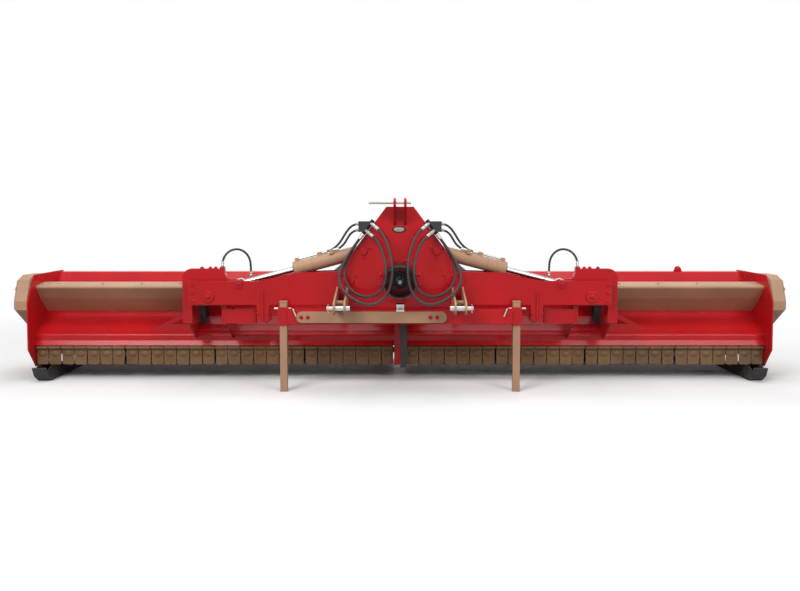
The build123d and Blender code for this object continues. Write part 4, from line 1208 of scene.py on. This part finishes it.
class MULCHER_OT_wings(bpy.types.Operator):
    """Adds the wings' hinges, skirts, skids, bolts and bearing caps, the lifting lug, and the gap's bar with
    its strip of painted shade
    """

    bl_idname = "mulcher.wings"
    bl_label = "Wings"

    def execute(self, context):
        for side_name, side in SIDES:
            self.hinge(side_name)
            self.skirt(side_name)
            self.skid(side_name, side)
            self.bolts(side_name, side)
            self.roller_cap(side_name, side)
        self.lifting_lug()
        self.gap_strip()
        return {"FINISHED"}

    def hinge(self, side_name):
        """A row of hinge knuckles along the top of the rear hood."""
        low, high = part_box("hood_" + side_name)
        pitch = (high.x - low.x - 2 * hood_end) / hinge_knuckles
        knuckle = [
            (0, 0.001), (0.008, 0.001), (0.009, 0.002), (0.009, pitch - 0.002), (0.008, pitch - 0.001),
            (0, pitch - 0.001),
        ]
        bm = bmesh.new()
        for number in range(hinge_knuckles):
            at = (low.x + hood_end + number * pitch, wing_front_y + hinge_back, hinge_z)
            lathe(bm, knuckle, place_on(at, (1, 0, 0)), steps=14)
        finish_piece("hood_hinge_" + side_name, bm, "wing_" + side_name, "red_paint")

    def skirt(self, side_name):
        """A rubber skirt clamped under the rear edge of the hood by a bolted bar."""
        wing = "wing_" + side_name
        low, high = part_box("hood_" + side_name)
        left = low.x + hood_end
        right = high.x - hood_end
        front = wing_front_y + skirt_back
        clamp = front + skirt_t
        rear = clamp + clamp_t
        rubber = ((left, front, skirt_bottom), (right, clamp, skirt_top))
        boxed("rear_skirt_" + side_name, [rubber], wing, "hose_rubber")
        bar = ((left, clamp, clamp_bottom), (right, rear, clamp_top))
        boxed("skirt_bar_" + side_name, [bar], wing, "red_paint", soften=0.001)
        places = []
        reach = high.x - low.x - 2 * skirt_bolt_inset
        for number in range(skirt_bolts):
            x = low.x + skirt_bolt_inset + reach * number / (skirt_bolts - 1)
            places.append(((x, rear, (clamp_bottom + clamp_top) / 2), BACKWARD, 0.008))
        bolt_set("skirt_bolts_" + side_name, wing, places)

    def skid(self, side_name, side):
        """A bent runner between two flanks, and the flange that holds it under the side plate."""
        bm = bmesh.new()
        edge = outer_x + skid_inset
        table = (
            # outline, x of its outer side, width
            (strip_outline(rounded(skid_path, skid_bend), skid_t), edge, skid_width),
            (skid_web, edge, skid_t),
            (skid_web, edge + skid_width - skid_t, skid_t),
            (skid_flange, outer_x, skid_inset + skid_t),
        )
        for outline, x, width in table:
            low = x if side > 0 else -x - width
            across = Matrix(((0, 0, 1, low), (1, 0, 0, wing_front_y), (0, 1, 0, 0), (0, 0, 0, 1)))
            slab(bm, outline, width, across, soften=0.0015, segments=1)
        finish_piece(
            "skid_runner_" + side_name, bm, "wing_" + side_name, "black_paint", ["skid_" + side_name]
        )

    def bolts(self, side_name, side):
        """Bolts of the belt cover, skid, side plate, shaft cover and bracket."""
        wing = "wing_" + side_name
        outward = (-side, 0, 0)
        downward = (0, 0, -1)
        cover = outer_x - 0.100
        table = (
            # x, distance behind the wing's front edge, z, way, size
            (cover, 0.055, 0.700, outward, 0.010),
            (cover, 0.055, 0.590, outward, 0.010),
            (cover, 0.230, 0.755, outward, 0.010),
            (cover, 0.560, 0.210, outward, 0.010),
            (cover, 0.650, 0.300, outward, 0.010),
            (cover, 0.300, 0.380, outward, 0.010),
            (outer_x + 0.024, 0.145, 0.100, downward, 0.009),
            (outer_x + 0.024, 0.220, 0.100, downward, 0.009),
            (outer_x + 0.024, 0.300, 0.100, downward, 0.009),
            (outer_x, 0.740, 0.690, outward, 0.009),
            (outer_x, 0.800, 0.560, outward, 0.009),
            (outer_x, 0.840, 0.430, outward, 0.009),
            (outer_x, 0.850, 0.300, outward, 0.009),
        )
        places = []
        for x, back, z, way, size in table:
            places.append((side_point((x, wing_front_y + back, z), side), way, size))
        places += self.slope_bolts(side, (-2.745, -2.640))
        bolt_set("wing_bolts_" + side_name, wing, places)
        painted = self.slope_bolts(side, (-2.300, -2.000, -1.700))
        bolt_set("cover_bolts_" + side_name, wing, painted, "tan_paint")
        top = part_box("wing_bracket_" + side_name)[1].z - 0.012
        studs = [(side_point((x, arm_y, top), side), UPWARD, 0.013) for x in (-1.345, -1.385, -1.445)]
        bolt_set("lug_studs_" + side_name, wing, studs, "red_paint")

    def slope_bolts(self, side, across):
        """Places of bolts in a row on the slope behind the flaps."""
        y = wing_front_y + slope_back
        return [(side_point((x, y, slope_z), side), slope_way, 0.009) for x in across]

    def roller_cap(self, side_name, side):
        """The bearing cap of the roller on the outer side plate."""
        cap = [
            (0, 0.030), (0.022, 0.030), (0.026, 0.027), (0.028, 0.012), (0.044, 0.010), (0.046, 0.008),
            (0.046, 0),
        ]
        at = side_point((outer_x, wing_front_y + roller_back, roller_z), side)
        place = place_on(at, (-side, 0, 0))
        turned("roller_bearing_" + side_name, cap, place, "wing_" + side_name, "black_paint", steps=32)

    def gap_strip(self):
        """A flat bar in front of the gap between the wings, and a black strip on it that is painted shade for
        the shadowed gap.
        """
        rear = wing_front_y + gap_plate_back
        middle = rear - gap_bar_t
        bar = ((-0.0445, middle, 0.120), (0.022, rear, 0.455))
        boxed("gap_bar", [bar], "wing_left", "red_paint")
        # Painted shade: a black strip with the rubber finish stands for the shadow in the gap between the
        # inner side plates
        rubber = ((0.004, middle - gap_shade_strip_t, 0.095), (0.053, middle, 0.450))
        boxed("gap_shade_strip", [rubber], "wing_left", "hose_rubber", soften=0.001)

    def lifting_lug(self):
        """A lifting lug on top of the right wing."""
        bm = bmesh.new()
        at = (2.29, wing_front_y + 0.640, 0.791)
        outline = [(-0.035, 0), (-0.022, 0.034), (-0.010, 0.044), (0.010, 0.044), (0.022, 0.034), (0.035, 0)]
        upright = Matrix(((1, 0, 0, 0), (0, 0, -1, 0), (0, 1, 0, 0), (0, 0, 0, 1)))
        slab(bm, outline, 0.012, Matrix.Translation(at) @ upright, soften=0.002)
        finish_piece("lifting_lug", bm, "wing_right", "red_paint")


class MULCHER_OT_stage(bpy.types.Operator):
    """Sets up the camera at the photograph's angle, the pale floor and soft light"""

    bl_idname = "mulcher.stage"
    bl_label = "Stage"

    def execute(self, context):
        scene = context.scene
        scene.view_settings.view_transform = "Standard"
        self.camera(scene)
        self.floor(scene)
        self.world(scene)
        table = (
            # name, place, size, power, whether paint mirrors it
            ("Key light", (-4.0, -6.5, 6.0), 4.0, 420, True),
            ("Fill light", (4.5, -6.5, 4.5), 4.0, 240, True),
            ("Top light", (0.0, 0.0, 6.5), 6.0, 175, True),
            ("Rear light", (2.5, 7.0, 4.5), 5.0, 260, False),
        )
        for name, place, size, power, mirrored in table:
            lamp = bpy.data.lights.new(name, "AREA")
            lamp.shape = "DISK"
            lamp.size = size
            lamp.energy = power
            light = bpy.data.objects.new(name, lamp)
            light.location = place
            light.visible_glossy = mirrored
            aim = Vector((0, 0, 0.4)) - Vector(place)
            light.rotation_euler = aim.to_track_quat("-Z", "Y").to_euler()
            scene.collection.objects.link(light)
        return {"FINISHED"}

    def camera(self, scene):
        """The camera at the photograph's place and angle."""
        lens = bpy.data.cameras.new("Photo camera")
        lens.sensor_width = 36.0
        lens.lens = photo_focal / photo_width * lens.sensor_width
        lens.shift_y = camera_shift
        lens.clip_end = 200.0
        camera = bpy.data.objects.new("Photo camera", lens)
        camera.location = camera_place
        camera.rotation_euler = (math.pi / 2 - camera_tilt, 0, 0)
        scene.collection.objects.link(camera)
        scene.camera = camera

    def floor(self, scene):
        """A pale floor that takes soft shadows and runs out into white."""
        bm = bmesh.new()
        bmesh.ops.create_grid(bm, x_segments=1, y_segments=1, size=60.0)
        mesh = bpy.data.meshes.new("studio_floor")
        bm.to_mesh(mesh)
        bm.free()
        floor = bpy.data.objects.new("studio_floor", mesh)
        floor.location.z = -0.0005
        scene.collection.objects.link(floor)
        material, tree, shader = new_material("Studio floor")
        shader.inputs["Roughness"].default_value = 0.9
        place = tree.nodes.new("ShaderNodeTexCoord").outputs["Object"]
        reach = tree.nodes.new("ShaderNodeVectorMath")
        reach.operation = "LENGTH"
        wire(tree, (place, reach.inputs[0]))
        far = range_node(tree, reach.outputs["Value"], 3.2, 6.0)
        rays, seen = seen_rays(tree)
        pale = (*scene.mulcher_colours.floor, 1)
        # Painted shade: to bounced light the floor is dark grey, so less light comes back up under the
        # machine, while the camera still sees it pale
        shade = mix_colour(tree, rays["Is Diffuse Ray"], pale, (0.20, 0.19, 0.18, 1))
        white = tree.nodes.new("ShaderNodeEmission")
        blend = tree.nodes.new("ShaderNodeMixShader")
        wire(
            tree,
            (shade, shader.inputs["Base Color"]),
            (math_node(tree, "MULTIPLY", far, seen), blend.inputs[0]),
            (shader.outputs["BSDF"], blend.inputs[1]),
            (white.outputs["Emission"], blend.inputs[2]),
            (blend.outputs["Shader"], tree.nodes["Material Output"].inputs["Surface"]),
        )
        mesh.materials.append(material)

    def world(self, scene):
        """An even light all round, which shows as white."""
        world = bpy.data.worlds.new("Studio world")
        world.use_nodes = True
        scene.world = world
        tree = world.node_tree
        plain = tree.nodes["Background"]
        plain.inputs["Color"].default_value = (1, 1, 1, 1)
        plain.inputs["Strength"].default_value = 0.42
        white = tree.nodes.new("ShaderNodeBackground")
        white.inputs["Color"].default_value = (1, 1, 1, 1)
        seen = seen_rays(tree)[1]
        blend = tree.nodes.new("ShaderNodeMixShader")
        wire(
            tree,
            (seen, blend.inputs[0]),
            (plain.outputs["Background"], blend.inputs[1]),
            (white.outputs["Background"], blend.inputs[2]),
            (blend.outputs["Shader"], tree.nodes["World Output"].inputs["Surface"]),
        )


class MULCHER_PT_panel(bpy.types.Panel):
    """Lists the pieces and their sizes and colours"""

    bl_idname = "MULCHER_PT_panel"
    bl_label = "Field mulcher"
    bl_space_type = "VIEW_3D"
    bl_region_type = "UI"
    bl_category = "Mulcher"

    def draw(self, context):
        for group in (context.scene.mulcher_sizes, context.scene.mulcher_colours):
            box = self.layout.box()
            for name in group.bl_rna.properties.keys():
                if name not in ("rna_type", "name"):
                    box.prop(group, name)
        for operator in operators:
            self.layout.operator(operator.bl_idname)


operators = (
    MULCHER_OT_stage,
    MULCHER_OT_finishes,
    MULCHER_OT_hoses,
    MULCHER_OT_headstock,
    MULCHER_OT_drive,
    MULCHER_OT_arms,
    MULCHER_OT_flaps,
    MULCHER_OT_wings,
)
classes = (MulcherSizes, MulcherColours, *operators, MULCHER_PT_panel)


def register():
    for item in classes:
        bpy.utils.register_class(item)
    bpy.types.Scene.mulcher_sizes = PointerProperty(type=MulcherSizes)
    bpy.types.Scene.mulcher_colours = PointerProperty(type=MulcherColours)


def unregister():
    del bpy.types.Scene.mulcher_colours
    del bpy.types.Scene.mulcher_sizes
    for item in reversed(classes):
        bpy.utils.unregister_class(item)


def main():
    register()
    bpy.ops.mulcher.stage()
    bpy.ops.mulcher.finishes()
    bpy.ops.mulcher.hoses()
    bpy.ops.mulcher.headstock()
    bpy.ops.mulcher.drive()
    bpy.ops.mulcher.arms()
    bpy.ops.mulcher.flaps()
    bpy.ops.mulcher.wings()
    bpy.context.view_layer.update()


if __name__ == "__main__":
    main()
